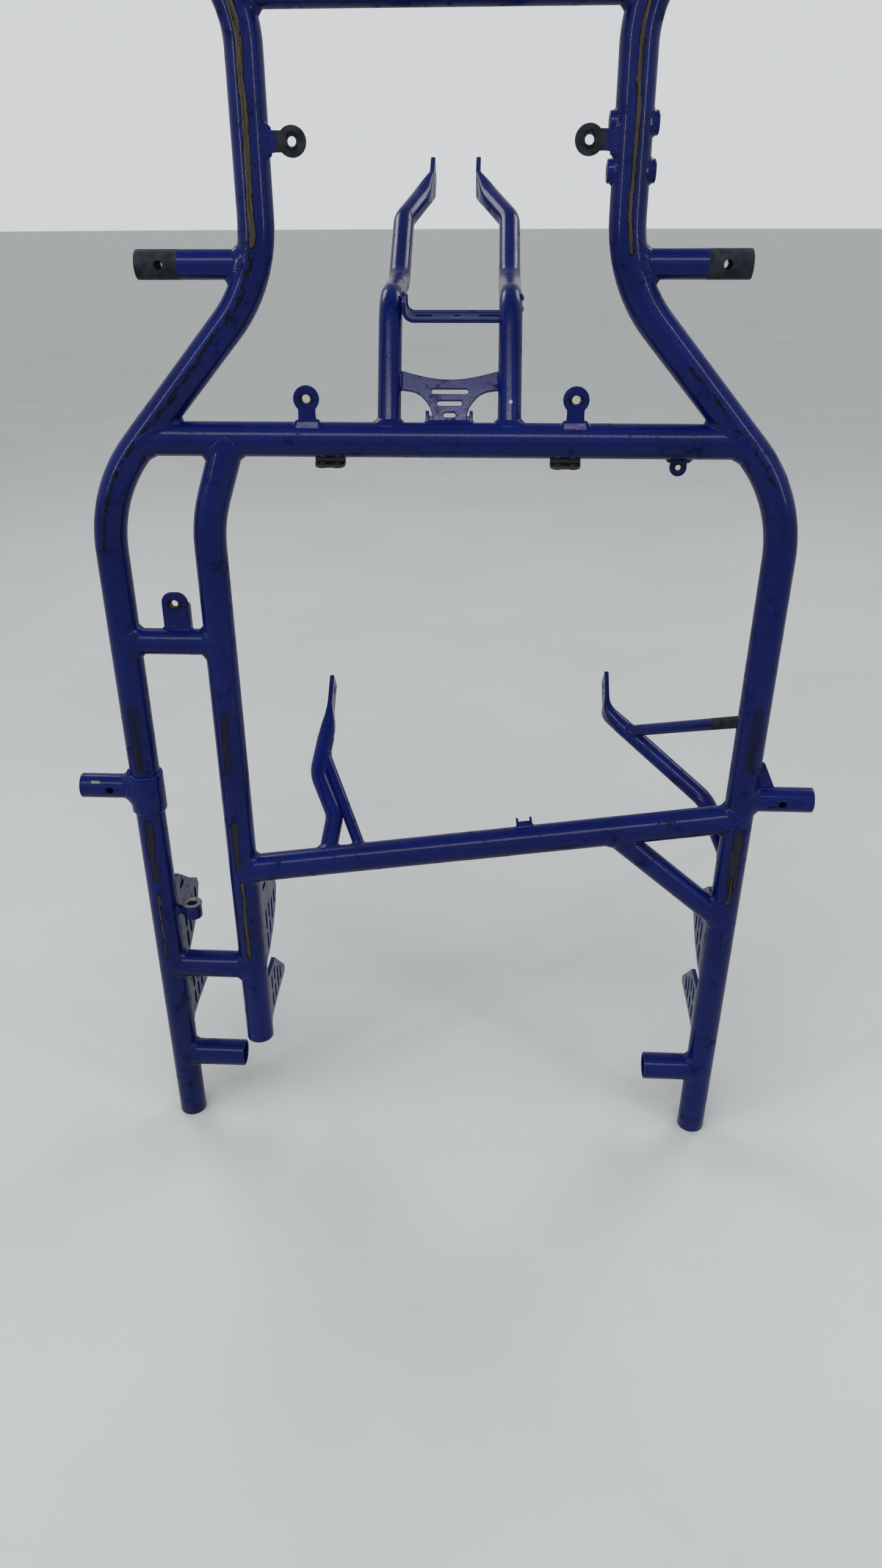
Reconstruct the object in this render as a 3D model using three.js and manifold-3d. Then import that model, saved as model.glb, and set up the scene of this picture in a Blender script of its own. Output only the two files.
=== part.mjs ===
// Kart chassis frame: a ladder of bent and coped round steel tubes with its welded-on stubs, tabs,
// bearing hangers, steering uprights and seat stays. It stands on the tail ends of its main rails.
// X runs across the frame, Z runs from the tail to the nose, and Y is the frame's upper side.
import * as THREE from 'three';
import { mergeVertices } from 'three/addons/utils/BufferGeometryUtils.js';
import Module from 'manifold-3d';

const wasm = await Module();
wasm.setup();

// Tube sizes, all in millimetres.
const MAIN_OD = 32;
const MAIN_WALL = 2;
const MEDIUM_OD = 27;
const SLEEVE_OD = 38;
const POD_FRONT_OD = 25;
const HOOP_OD = 28;
const UPRIGHT_OD = 22;
const STAY_OD = 20;
const STRUT_OD = 13;
const THIN_WALL = 1.5;
const GAP = 0.3;

// Facets of the round sections, and the turn of a bend between two of its stations.
const SIDES = 14;
const BORE_SIDES = 10;
const BEND_STEP = THREE.MathUtils.degToRad(15);

// Main rails: tail, wide bay, waist and the arms that carry the kingpin yokes.
const RIGHT_TAIL_X = -324;
const LEFT_TAIL_X = 315;
const BAY_HALF = 329.5;
const BAY_TOP_Z = 790;
const BAY_BEND = 150;
const WAIST_HALF = 161;
const WAIST_Z = 979;
const WAIST_BEND = 130;
const ARM_BEND_Z = 1222;
const ARM_BEND = 90;
const ARM_END_X = 341;
const ARM_END_Z = 1270;
const TAIL_EXTRA = 2;

// Inner rail, cross tubes and the brace.
const ENGINE_TAIL_X = -227;
const ENGINE_TAIL_Z = 122;
const ENGINE_BEND_X = -229.3;
const ENGINE_BEND_Z = 763;
const ENGINE_BEND = 150;
const ENGINE_TOP_X = -201.7;
const CENTRE_CROSS_Z = 842;
const REAR_CROSS_Z = 396.6;
const REAR_CROSS_SLOPE = 0.147;
const BAY_TUBE_FRONT_Z = 638;
const BAY_TUBE_REAR_Z = 229;
const BRACE_TOP_X = 187;
const BRACE_END_Z = 311.4;
const FRONT_CROSS_Z = 1193;

// Stubs that carry the side pods and the bumpers.
const POD_FRONT_Z = 992;
const POD_FRONT_END = 270.5;
const POD_REAR_Z = 468;
const POD_REAR_END = 399;
const POD_HOLE = 8;
const POD_FRONT_HOLE_X = 248.5;
const POD_REAR_HOLE_X = 365;
const SLEEVE_Z = 463;
const SLEEVE_LENGTH = 46;
const BUMPER_REAR_Z = 92.5;
const BUMPER_REAR_END = 248;
const BUMPER_FRONT_X = 110;
const BUMPER_FRONT_LENGTH = 46;

// Front hoop.
const HOOP_HALF = 190;
const HOOP_ROOT_Z = 1219;
const HOOP_TOP_Z = 1436;
const HOOP_BEND = 75;

// Eye tabs for the floor tray.
const TAB_THICKNESS = 4;
const TAB_Y = -6;
const TAB_EYE_R = 12;
const TAB_HOLE_R = 3.9;
const TAB_NECK = 16;
const TRAY_TAB_X = 124.5;
const TRAY_TAB_FRONT_Z = 1086;
const TRAY_TAB_REAR_Z = 879.5;

// Steering uprights: the lower leg leans 27 degrees off the frame, then they rise and close up to blades.
const UPRIGHT_LEAN = THREE.MathUtils.degToRad(27);
const BLADE_THICKNESS = 5;
const UPRIGHT_BLADE = 30;
const STAY_BLADE = 34;
const BLADE_SPREAD = 1.4;
const BLADE_HOLE_R = 4.1;

// Bearing hangers.
const LUG_THICKNESS = 5;
const LUG_OFFSET = 12.5;

const BLUE = 0x15157a;
const BLACK = 0x111214;

const frame = new THREE.Group();

// ---- general helpers -------------------------------------------------------------------------

const v3 = (x, y, z) => new THREE.Vector3(x, y, z);

function ring(radius, sides) {
  const turn = (2 * Math.PI) / sides;
  return Array.from({ length: sides }, (_, i) => {
    return new THREE.Vector2(radius * Math.cos(i * turn), radius * Math.sin(i * turn));
  });
}

function solidOf(geometry) {
  const bare = geometry.clone();
  bare.deleteAttribute('normal');
  bare.deleteAttribute('uv');
  const merged = mergeVertices(bare, 1e-4);
  const vertProperties = new Float32Array(merged.attributes.position.array);
  const triVerts = new Uint32Array(merged.index.array);
  return new wasm.Manifold(new wasm.Mesh({ numProp: 3, vertProperties, triVerts }));
}

function geometryOf(solid) {
  const mesh = solid.getMesh();
  const geometry = new THREE.BufferGeometry();
  geometry.setAttribute('position', new THREE.BufferAttribute(mesh.vertProperties, 3));
  geometry.setIndex(new THREE.BufferAttribute(mesh.triVerts, 1));
  return geometry;
}

function add(name, solid, colour = BLUE) {
  const material = new THREE.MeshStandardMaterial({ color: colour, roughness: 0.3, metalness: 0.1 });
  const mesh = new THREE.Mesh(geometryOf(solid), material);
  mesh.name = name;
  frame.add(mesh);
}

function cut(solid, ...cutters) {
  return cutters.reduce((rest, cutter) => rest.subtract(cutter), solid);
}

// A path of straight runs and round bends, which gives points only where a tube needs them.
class BentPath extends THREE.Curve {
  constructor(corners, radii = [], endSteps = []) {
    super();
    this.stations = [];
    const first = corners[0];
    const last = corners[corners.length - 1];
    this.place(first, corners[1].clone().sub(first).normalize());
    for (let i = 1; i < corners.length - 1; i += 1) {
      const radius = radii[i - 1];
      if (radius > 0) this.bend(corners[i - 1], corners[i], corners[i + 1], radius);
      else this.place(corners[i], corners[i + 1].clone().sub(corners[i - 1]).normalize());
    }
    const heading = last.clone().sub(corners[corners.length - 2]).normalize();
    endSteps.forEach((back) => this.place(last.clone().addScaledVector(heading, -back), heading));
    this.place(last, heading);
  }

  place(point, tangent) {
    this.stations.push({ point, tangent });
  }

  bend(before, corner, after, radius) {
    const incoming = corner.clone().sub(before).normalize();
    const outgoing = after.clone().sub(corner).normalize();
    const angle = incoming.angleTo(outgoing);
    const axis = incoming.clone().cross(outgoing).normalize();
    const start = corner.clone().addScaledVector(incoming, -radius * Math.tan(angle / 2));
    const inward = axis.clone().cross(incoming);
    const centre = start.clone().addScaledVector(inward, radius);
    const steps = Math.max(2, Math.ceil(angle / BEND_STEP));
    for (let i = 0; i <= steps; i += 1) {
      const turn = (angle * i) / steps;
      const arm = start.clone().sub(centre).applyAxisAngle(axis, turn);
      this.place(centre.clone().add(arm), incoming.clone().applyAxisAngle(axis, turn));
    }
  }

  getPointAt(u) {
    return this.stations[Math.round(u * (this.stations.length - 1))].point.clone();
  }

  getTangentAt(u) {
    return this.stations[Math.round(u * (this.stations.length - 1))].tangent.clone();
  }
}

// A round section swept along a path: solid, or with a bore.
function sweep(path, radius, boreRadius = 0) {
  const shape = new THREE.Shape(ring(radius, SIDES));
  if (boreRadius > 0) shape.holes.push(new THREE.Path(ring(boreRadius, BORE_SIDES)));
  const steps = path.stations.length - 1;
  return solidOf(new THREE.ExtrudeGeometry(shape, { steps, extrudePath: path }));
}

function tube(path, od, wall) {
  return sweep(path, od / 2, od / 2 - wall);
}

// The room that a tube takes from its neighbours, with the gap all round.
function room(path, od) {
  return sweep(path, od / 2 + GAP);
}

function cylinder(radius, length, centre, direction) {
  const geometry = new THREE.CylinderGeometry(radius, radius, length, SIDES);
  const turn = new THREE.Quaternion().setFromUnitVectors(v3(0, 1, 0), direction.clone().normalize());
  geometry.applyQuaternion(turn);
  geometry.translate(centre.x, centre.y, centre.z);
  return solidOf(geometry);
}

function box(centre, size) {
  const geometry = new THREE.BoxGeometry(size.x, size.y, size.z);
  geometry.translate(centre.x, centre.y, centre.z);
  return solidOf(geometry);
}

// A flat plate: its outline's two axes and its thickness direction are given by a matrix.
function plate(shape, thickness, matrix) {
  const geometry = new THREE.ExtrudeGeometry(shape, {
    depth: thickness,
    bevelEnabled: false,
    curveSegments: 4,
  });
  geometry.translate(0, 0, -thickness / 2);
  geometry.applyMatrix4(matrix);
  return solidOf(geometry);
}

function axes(origin, right, up) {
  const out = right.clone().cross(up);
  return new THREE.Matrix4().makeBasis(right, up, out).setPosition(origin);
}

// A rounded slot as a hole of a plate's outline, between two centres.
function slot(from, to, radius) {
  const along = to.clone().sub(from);
  const heading = Math.atan2(along.y, along.x);
  const path = new THREE.Path();
  path.absarc(to.x, to.y, radius, heading - Math.PI / 2, heading + Math.PI / 2, false);
  path.absarc(from.x, from.y, radius, heading + Math.PI / 2, heading + 1.5 * Math.PI, false);
  path.closePath();
  return path;
}

const v2 = (x, y) => new THREE.Vector2(x, y);

function roundHole(x, y, radius) {
  return new THREE.Path(ring(radius, BORE_SIDES).map((p) => v2(p.x + x, p.y + y)));
}

// ---- main rails, inner rail and cross tubes --------------------------------------------------

function railPath(side, tailX) {
  return new BentPath(
    [
      v3(railX(tailX, -TAIL_EXTRA), 0, -TAIL_EXTRA),
      v3(side * BAY_HALF, 0, BAY_TOP_Z),
      v3(side * WAIST_HALF, 0, WAIST_Z),
      v3(side * WAIST_HALF, 0, ARM_BEND_Z),
      v3(side * ARM_END_X, 0, ARM_END_Z),
    ],
    [BAY_BEND, WAIST_BEND, ARM_BEND],
  );
}

// The X of a main rail's axis in its straight tail half.
function railX(tailX, z) {
  const side = Math.sign(tailX);
  return tailX + ((side * BAY_HALF - tailX) * z) / BAY_TOP_Z;
}

// The X of the inner rail's axis below its bend.
function engineX(z) {
  const share = (z - ENGINE_TAIL_Z) / (ENGINE_BEND_Z - ENGINE_TAIL_Z);
  return THREE.MathUtils.lerp(ENGINE_TAIL_X, ENGINE_BEND_X, share);
}

function rearCrossZ(x) {
  return REAR_CROSS_Z + REAR_CROSS_SLOPE * x;
}

const rightRail = railPath(-1, RIGHT_TAIL_X);
const leftRail = railPath(1, LEFT_TAIL_X);
const rightRoom = room(rightRail, MAIN_OD);
const leftRoom = room(leftRail, MAIN_OD);
const enginePath = new BentPath(
  [
    v3(ENGINE_TAIL_X, 0, ENGINE_TAIL_Z),
    v3(ENGINE_BEND_X, 0, ENGINE_BEND_Z),
    v3(ENGINE_TOP_X, 0, CENTRE_CROSS_Z),
  ],
  [ENGINE_BEND],
);
const engineRoom = room(enginePath, MAIN_OD);

const DIAGONAL_X_AT_CROSS = 283;
const centreCrossPath = new BentPath([
  v3(-DIAGONAL_X_AT_CROSS, 0, CENTRE_CROSS_Z),
  v3(DIAGONAL_X_AT_CROSS, 0, CENTRE_CROSS_Z),
]);
const centreCrossRoom = room(centreCrossPath, MAIN_OD);

const rearCrossLeft = railX(LEFT_TAIL_X, rearCrossZ(LEFT_TAIL_X));
const rearCrossPath = new BentPath([
  v3(engineX(rearCrossZ(ENGINE_TAIL_X)), 0, rearCrossZ(ENGINE_TAIL_X)),
  v3(rearCrossLeft, 0, rearCrossZ(rearCrossLeft)),
]);
const rearCrossRoom = room(rearCrossPath, MAIN_OD);

function straightTube(from, to, od, wall, ...rooms) {
  return cut(tube(new BentPath([from, to]), od, wall), ...rooms);
}

function bayTube(z, od) {
  const from = v3(railX(RIGHT_TAIL_X, z), 0, z);
  return straightTube(from, v3(engineX(z), 0, z), od, MAIN_WALL, rightRoom, engineRoom);
}

add('engine_rail', cut(tube(enginePath, MAIN_OD, MAIN_WALL), centreCrossRoom));
add('centre_cross_tube', cut(tube(centreCrossPath, MAIN_OD, MAIN_WALL), rightRoom, leftRoom));
add('rear_cross_tube', cut(tube(rearCrossPath, MAIN_OD, MAIN_WALL), engineRoom, leftRoom));
add('engine_bay_tube_front', bayTube(BAY_TUBE_FRONT_Z, MEDIUM_OD));
add('engine_bay_tube_rear', bayTube(BAY_TUBE_REAR_Z, MAIN_OD));

const braceFrom = v3(BRACE_TOP_X, 0, rearCrossZ(BRACE_TOP_X));
const braceTo = v3(railX(LEFT_TAIL_X, BRACE_END_Z), 0, BRACE_END_Z);
add('diagonal_brace', straightTube(braceFrom, braceTo, MEDIUM_OD, MAIN_WALL, rearCrossRoom, leftRoom));

// ---- front end: cross tube, hoop, kingpin yokes ----------------------------------------------

const FRONT_CROSS_HALF = 169;
const frontCrossPath = new BentPath([
  v3(-FRONT_CROSS_HALF, 0, FRONT_CROSS_Z),
  v3(FRONT_CROSS_HALF, 0, FRONT_CROSS_Z),
]);
add('front_cross_tube', cut(tube(frontCrossPath, HOOP_OD, MAIN_WALL), rightRoom, leftRoom));

const hoopPath = new BentPath(
  [
    v3(-HOOP_HALF, 0, HOOP_ROOT_Z),
    v3(-HOOP_HALF, 0, HOOP_TOP_Z),
    v3(HOOP_HALF, 0, HOOP_TOP_Z),
    v3(HOOP_HALF, 0, HOOP_ROOT_Z),
  ],
  [HOOP_BEND, HOOP_BEND],
);
const hoopRoom = room(hoopPath, HOOP_OD);
add('front_hoop', cut(tube(hoopPath, HOOP_OD, MAIN_WALL), rightRoom, leftRoom));

// A C of thick plate on the end of each arm, whose two ears hold the kingpin.
const YOKE_PLATE = 8;
const YOKE_BOTTOM_Y = -16;
const YOKE_HEIGHT = 66;
const YOKE_REACH = 54;
const YOKE_WIDTH = 40;
const KINGPIN_R = 5.2;

function yoke(side) {
  const outline = new THREE.Shape([
    v2(0, 0),
    v2(YOKE_REACH, 0),
    v2(YOKE_REACH, YOKE_PLATE),
    v2(YOKE_PLATE, YOKE_PLATE),
    v2(YOKE_PLATE, YOKE_HEIGHT - YOKE_PLATE),
    v2(YOKE_REACH, YOKE_HEIGHT - YOKE_PLATE),
    v2(YOKE_REACH, YOKE_HEIGHT),
    v2(0, YOKE_HEIGHT),
  ]);
  const backX = side * (ARM_END_X + GAP);
  const centreZ = ARM_END_Z + 1;
  const place = axes(v3(backX, YOKE_BOTTOM_Y, centreZ), v3(side, 0, 0), v3(0, 1, 0));
  const body = plate(outline, YOKE_WIDTH, place);
  const pinX = backX + side * (YOKE_REACH - YOKE_WIDTH / 2);
  return cut(body, cylinder(KINGPIN_R, 3 * YOKE_HEIGHT, v3(pinX, 0, centreZ), v3(0, 1, 0)));
}

// The arms end square to X, so that the yokes' back plates sit flat on them.
const armEnd = (side) => box(v3(side * (ARM_END_X + 50), 0, ARM_END_Z), v3(100, 80, 120));
// The tails end square to Z, so that the frame stands flat on them.
const belowTails = box(v3(0, 0, -50), v3(900, 80, 100));
const yokes = { right: yoke(-1), left: yoke(1) };
add('kingpin_yoke_right', yokes.right);
add('kingpin_yoke_left', yokes.left);

function frontBumperStub(side) {
  const root = v3(side * BUMPER_FRONT_X, 0, HOOP_TOP_Z);
  const end = v3(side * BUMPER_FRONT_X, 0, HOOP_TOP_Z + HOOP_OD / 2 + BUMPER_FRONT_LENGTH);
  return straightTube(root, end, POD_FRONT_OD, MAIN_WALL, hoopRoom);
}
add('front_bumper_stub_right', frontBumperStub(-1));
add('front_bumper_stub_left', frontBumperStub(1));

// ---- side pod and bumper stubs ---------------------------------------------------------------

const drill = (x, z, radius = POD_HOLE / 2) => cylinder(radius, 3 * MAIN_OD, v3(x, 0, z), v3(0, 1, 0));

function podStub(rootX, endX, z, od, holeX, ...rooms) {
  return cut(straightTube(v3(rootX, 0, z), v3(endX, 0, z), od, MAIN_WALL, ...rooms), drill(holeX, z));
}

const sleevePath = new BentPath([
  v3(railX(RIGHT_TAIL_X, SLEEVE_Z - SLEEVE_LENGTH / 2), 0, SLEEVE_Z - SLEEVE_LENGTH / 2),
  v3(railX(RIGHT_TAIL_X, SLEEVE_Z + SLEEVE_LENGTH / 2), 0, SLEEVE_Z + SLEEVE_LENGTH / 2),
]);
const sleeveRoom = room(sleevePath, SLEEVE_OD);
add('pod_stub_sleeve', cut(sweep(sleevePath, SLEEVE_OD / 2), rightRoom));

add(
  'side_pod_stub_front_right',
  podStub(-WAIST_HALF, -POD_FRONT_END, POD_FRONT_Z, POD_FRONT_OD, -POD_FRONT_HOLE_X, rightRoom),
);
add(
  'side_pod_stub_front_left',
  podStub(WAIST_HALF, POD_FRONT_END, POD_FRONT_Z, POD_FRONT_OD, POD_FRONT_HOLE_X, leftRoom),
);
const podRearRightX = railX(RIGHT_TAIL_X, POD_REAR_Z);
const podRearLeftX = railX(LEFT_TAIL_X, POD_REAR_Z);
add(
  'side_pod_stub_rear_right',
  podStub(podRearRightX, -POD_REAR_END, POD_REAR_Z, MEDIUM_OD, -POD_REAR_HOLE_X, sleeveRoom, rightRoom),
);
const podStubRearLeft = podStub(podRearLeftX, POD_REAR_END, POD_REAR_Z, MEDIUM_OD, POD_REAR_HOLE_X, leftRoom);
add('side_pod_stub_rear_left', podStubRearLeft);

const GUSSET_HEIGHT = 30;
const GUSSET_REACH = 18;
const gussetRootZ = POD_REAR_Z + MEDIUM_OD / 2;
const gussetShape = new THREE.Shape([
  v2(-6, -6),
  v2(GUSSET_REACH, -6),
  v2(GUSSET_REACH, 0),
  v2(4, GUSSET_HEIGHT),
  v2(-6, GUSSET_HEIGHT),
]);
const gussetAxes = axes(v3(podRearLeftX + MAIN_OD / 2, 0, gussetRootZ), v3(1, 0, 0), v3(0, 0, 1));
const podLeftPath = new BentPath([v3(podRearLeftX, 0, POD_REAR_Z), v3(POD_REAR_END, 0, POD_REAR_Z)]);
const podLeftRoom = room(podLeftPath, MEDIUM_OD);
add('pod_stub_gusset', cut(plate(gussetShape, 4, gussetAxes), leftRoom, podLeftRoom));

function rearBumperStub(tailX, ownRoom) {
  const root = v3(railX(tailX, BUMPER_REAR_Z), 0, BUMPER_REAR_Z);
  const end = v3(Math.sign(tailX) * BUMPER_REAR_END, 0, BUMPER_REAR_Z);
  return straightTube(root, end, MAIN_OD, MAIN_WALL, ownRoom);
}
add('rear_bumper_stub_right', rearBumperStub(RIGHT_TAIL_X, rightRoom));
add('rear_bumper_stub_left', rearBumperStub(LEFT_TAIL_X, leftRoom));

// Two bosses pass right through the left rail's waist.
const BOSS = { z: [1098, 1063], od: 18.4, length: 41, bore: 4 };
const bossCentre = (z) => v3(WAIST_HALF, 0, z);
function boss(z) {
  const body = cylinder(BOSS.od / 2, BOSS.length, bossCentre(z), v3(1, 0, 0));
  return cut(body, cylinder(BOSS.bore, 2 * BOSS.length, bossCentre(z), v3(1, 0, 0)));
}
add('rail_boss_front', boss(BOSS.z[0]));
add('rail_boss_rear', boss(BOSS.z[1]));
const bossHoles = BOSS.z.map((z) => cylinder(BOSS.od / 2 + GAP, 2 * BOSS.length, bossCentre(z), v3(1, 0, 0)));

// ---- eye tabs and small brackets -------------------------------------------------------------

// A tab with a round eye at the origin, a hole, and a neck that flares out to its root.
const FLARE = 3;
function eyeShape(eyeR, holeR, neck, length, flareAt) {
  const half = neck / 2;
  const lean = Math.asin(half / eyeR);
  const shape = new THREE.Shape();
  shape.absarc(0, 0, eyeR, -Math.PI / 2 + lean, 1.5 * Math.PI - lean, false);
  shape.lineTo(-half, -flareAt + 2.5 * FLARE);
  shape.quadraticCurveTo(-half, -flareAt + FLARE, -half - FLARE, -flareAt);
  shape.lineTo(-half - FLARE, -length);
  shape.lineTo(half + FLARE, -length);
  shape.lineTo(half + FLARE, -flareAt);
  shape.quadraticCurveTo(half, -flareAt + FLARE, half, -flareAt + 2.5 * FLARE);
  shape.closePath();
  shape.holes.push(roundHole(0, 0, holeR));
  return shape;
}

function eyeTab(eye, outward, length, rooms, sizes = [TAB_EYE_R, TAB_HOLE_R, TAB_NECK]) {
  const right = v3(0, 1, 0).cross(outward);
  const shape = eyeShape(...sizes, length, length - MAIN_OD / 2 + 1);
  return cut(plate(shape, TAB_THICKNESS, axes(eye, right, outward)), ...rooms);
}

function frontTab(side, ...rooms) {
  const eye = v3(side * TRAY_TAB_X, TAB_Y, TRAY_TAB_FRONT_Z);
  return eyeTab(eye, v3(-side, 0, 0), WAIST_HALF - TRAY_TAB_X, rooms);
}
add('tray_tab_front_right', frontTab(-1, rightRoom));
add('tray_tab_front_left', frontTab(1, leftRoom, ...bossHoles));

function rearTab(x) {
  const length = TRAY_TAB_REAR_Z - CENTRE_CROSS_Z;
  return eyeTab(v3(x, TAB_Y, TRAY_TAB_REAR_Z), v3(0, 0, 1), length, [centreCrossRoom]);
}
add('tray_tab_rear_right', rearTab(-TRAY_TAB_X));
add('tray_tab_rear_left', rearTab(TRAY_TAB_X));

const SMALL_TAB = { x: 223.5, z: 818, eyeR: 8, holeR: 2.6, neck: 15 };
add(
  'small_tab',
  eyeTab(
    v3(SMALL_TAB.x, 2, SMALL_TAB.z),
    v3(0, 0, -1),
    CENTRE_CROSS_Z - SMALL_TAB.z,
    [centreCrossRoom],
    [SMALL_TAB.eyeR, SMALL_TAB.holeR, SMALL_TAB.neck],
  ),
);

// The engine bay bracket is a folded plate: a face with a round top and a hole, and two side flanges.
const FOLD = { x: -272.5, y: 2, width: 27, top: 690, thickness: 3, depth: 9, corner: 11 };
const FOLD_HOLE = { radius: 3.4, z: 678.5 };
function foldedBracket() {
  const half = FOLD.width / 2;
  const rootZ = BAY_TUBE_FRONT_Z;
  const face = new THREE.Shape();
  face.moveTo(half, rootZ - FOLD.top);
  face.lineTo(half, -FOLD.corner);
  face.absarc(half - FOLD.corner, -FOLD.corner, FOLD.corner, 0, Math.PI / 2, false);
  face.absarc(-half + FOLD.corner, -FOLD.corner, FOLD.corner, Math.PI / 2, Math.PI, false);
  face.lineTo(-half, rootZ - FOLD.top);
  face.closePath();
  face.holes.push(roundHole(0, FOLD_HOLE.z - FOLD.top, FOLD_HOLE.radius));
  const place = axes(v3(FOLD.x, FOLD.y, FOLD.top), v3(1, 0, 0), v3(0, 0, 1));
  const facePlate = plate(face, FOLD.thickness, place);
  const flangeHeight = FOLD.top - FOLD.corner - rootZ;
  const flange = (side) => {
    const x = FOLD.x + side * (half - FOLD.thickness / 2);
    const centre = v3(x, FOLD.y + FOLD.depth / 2, rootZ + flangeHeight / 2);
    return box(centre, v3(FOLD.thickness, FOLD.depth, flangeHeight));
  };
  const bayRoom = room(new BentPath([v3(-300, 0, rootZ), v3(-250, 0, rootZ)]), MEDIUM_OD);
  return cut(facePlate.add(flange(-1)).add(flange(1)), bayRoom);
}
add('engine_bay_bracket', foldedBracket());

// Two short brackets under the centre cross tube: a strip of steel whose foot turns out, with two holes.
const CLIP = { x: [-106, 117.5], width: 29, thickness: 3, y: 5.5, bend: 21, holeR: 3, holeX: 7.25, holeY: 5 };
const CLIP_FOOT = { lobeY: 3, lobeR: 7.25, arc: (125 * Math.PI) / 180, tilt: (10 * Math.PI) / 180 };
function twoHoleBracket(x) {
  const half = CLIP.width / 2;
  const { lobeY, lobeR, arc, tilt } = CLIP_FOOT;
  const strip = new THREE.Shape();
  strip.moveTo(-half, 0);
  strip.lineTo(-half, -CLIP.bend - 0.8 * CLIP.thickness);
  strip.lineTo(half, -CLIP.bend - 0.8 * CLIP.thickness);
  strip.lineTo(half, 0);
  strip.closePath();
  const hanging = plate(strip, CLIP.thickness, axes(v3(x, CLIP.y, CENTRE_CROSS_Z), v3(1, 0, 0), v3(0, 0, 1)));
  const lobes = new THREE.Shape();
  lobes.moveTo(-half, -CLIP.thickness);
  lobes.lineTo(half, -CLIP.thickness);
  lobes.lineTo(half, lobeY);
  lobes.absarc(half - lobeR, lobeY, lobeR, 0, arc, false);
  lobes.absarc(-half + lobeR, lobeY, lobeR, Math.PI - arc, Math.PI, false);
  lobes.closePath();
  lobes.holes.push(roundHole(-CLIP.holeX, CLIP.holeY, CLIP.holeR));
  lobes.holes.push(roundHole(CLIP.holeX, CLIP.holeY, CLIP.holeR));
  const outward = v3(0, -Math.cos(tilt), -Math.sin(tilt));
  const footY = CLIP.y - CLIP.thickness / 2 + (CLIP.thickness / 2) * Math.sin(tilt);
  const footZ = CENTRE_CROSS_Z - CLIP.bend - (CLIP.thickness / 2) * Math.cos(tilt);
  const foot = plate(lobes, CLIP.thickness, axes(v3(x, footY, footZ), v3(1, 0, 0), outward));
  return cut(hanging.add(foot), centreCrossRoom);
}
add('cable_bracket_right', twoHoleBracket(CLIP.x[0]), BLACK);
add('cable_bracket_left', twoHoleBracket(CLIP.x[1]), BLACK);

add('right_main_rail', cut(tube(rightRail, MAIN_OD, MAIN_WALL), armEnd(-1), belowTails));
add('left_main_rail', cut(tube(leftRail, MAIN_OD, MAIN_WALL), armEnd(1), belowTails, ...bossHoles));

// A threaded bush stands off the inner side of the right rail on a short neck.
const BUSH = { x: -293, z: 307, od: 22, length: 19, bore: 5, neck: 8 };
const bushCentre = v3(BUSH.x, 0, BUSH.z);
const bushNeck = cylinder(BUSH.neck / 2, BUSH.od, v3(BUSH.x - BUSH.od / 2, 0, BUSH.z), v3(1, 0, 0));
const bushBody = cylinder(BUSH.od / 2, BUSH.length, bushCentre, v3(0, 0, 1)).add(bushNeck);
add('threaded_bush', cut(bushBody, cylinder(BUSH.bore, 2 * BUSH.length, bushCentre, v3(0, 0, 1)), rightRoom));

// A small channel on the rear cross tube guides a cable between the pointed tips of its two flanges.
const GUIDE = { x: 94, width: 17.5, web: 23, tip: 27.6, thickness: 2.5, depth: 9, y: 0 };
function cableGuide() {
  const half = GUIDE.width / 2;
  const rootZ = rearCrossZ(GUIDE.x);
  const web = box(
    v3(GUIDE.x, GUIDE.y + GUIDE.thickness / 2, rootZ + GUIDE.web / 2),
    v3(GUIDE.width - 1, GUIDE.thickness, GUIDE.web),
  );
  const side = new THREE.Shape([
    v2(0, 0),
    v2(GUIDE.depth, 0),
    v2(GUIDE.depth, GUIDE.web - 3),
    v2(GUIDE.thickness, GUIDE.tip),
    v2(0, GUIDE.tip),
  ]);
  const flanges = [-1, 1].map((sign) => {
    const x = GUIDE.x + sign * (half - GUIDE.thickness / 2);
    return plate(side, GUIDE.thickness, axes(v3(x, GUIDE.y, rootZ), v3(0, 1, 0), v3(0, 0, 1)));
  });
  return cut(web.add(flanges[0]).add(flanges[1]), rearCrossRoom);
}

// ---- steering uprights, their plate and strap ------------------------------------------------

// A tube with a coped root and bends, whose tip is squashed to a blade: thin along X and wider across.
// The last bend lies inside the taper, and a bolt hole crosses the blade.
function bladedTube(corners, radii, od, blade, ...rooms) {
  const tip = corners[corners.length - 1];
  const bendBefore = corners[corners.length - 3];
  const lastBend = corners[corners.length - 2];
  const heading = tip.clone().sub(lastBend).normalize();
  const taperStart = bendBefore.clone().lerp(lastBend, 0.55);
  const taperMiddle = bendBefore.clone().lerp(lastBend, 0.78);
  const before = corners.slice(0, -2);
  const path = new BentPath(
    [...before, taperStart, taperMiddle, lastBend, tip],
    [...radii.slice(0, -1), 0, 0, radii[radii.length - 1]],
    [blade],
  );
  const geometry = new THREE.ExtrudeGeometry(new THREE.Shape(ring(od / 2, SIDES)), {
    steps: path.stations.length - 1,
    extrudePath: path,
  });
  squash(geometry, path.stations, taperStart.distanceTo(lastBend) + lastBend.distanceTo(tip), blade, od);
  const bore = sweep(new BentPath([...before, taperMiddle], radii.slice(0, -1)), od / 2 - THIN_WALL - GAP);
  const hole = tip.clone().addScaledVector(heading, -0.4 * blade);
  return cut(solidOf(geometry), bore, cylinder(BLADE_HOLE_R, od, hole, v3(1, 0, 0)), ...rooms);
}

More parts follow.
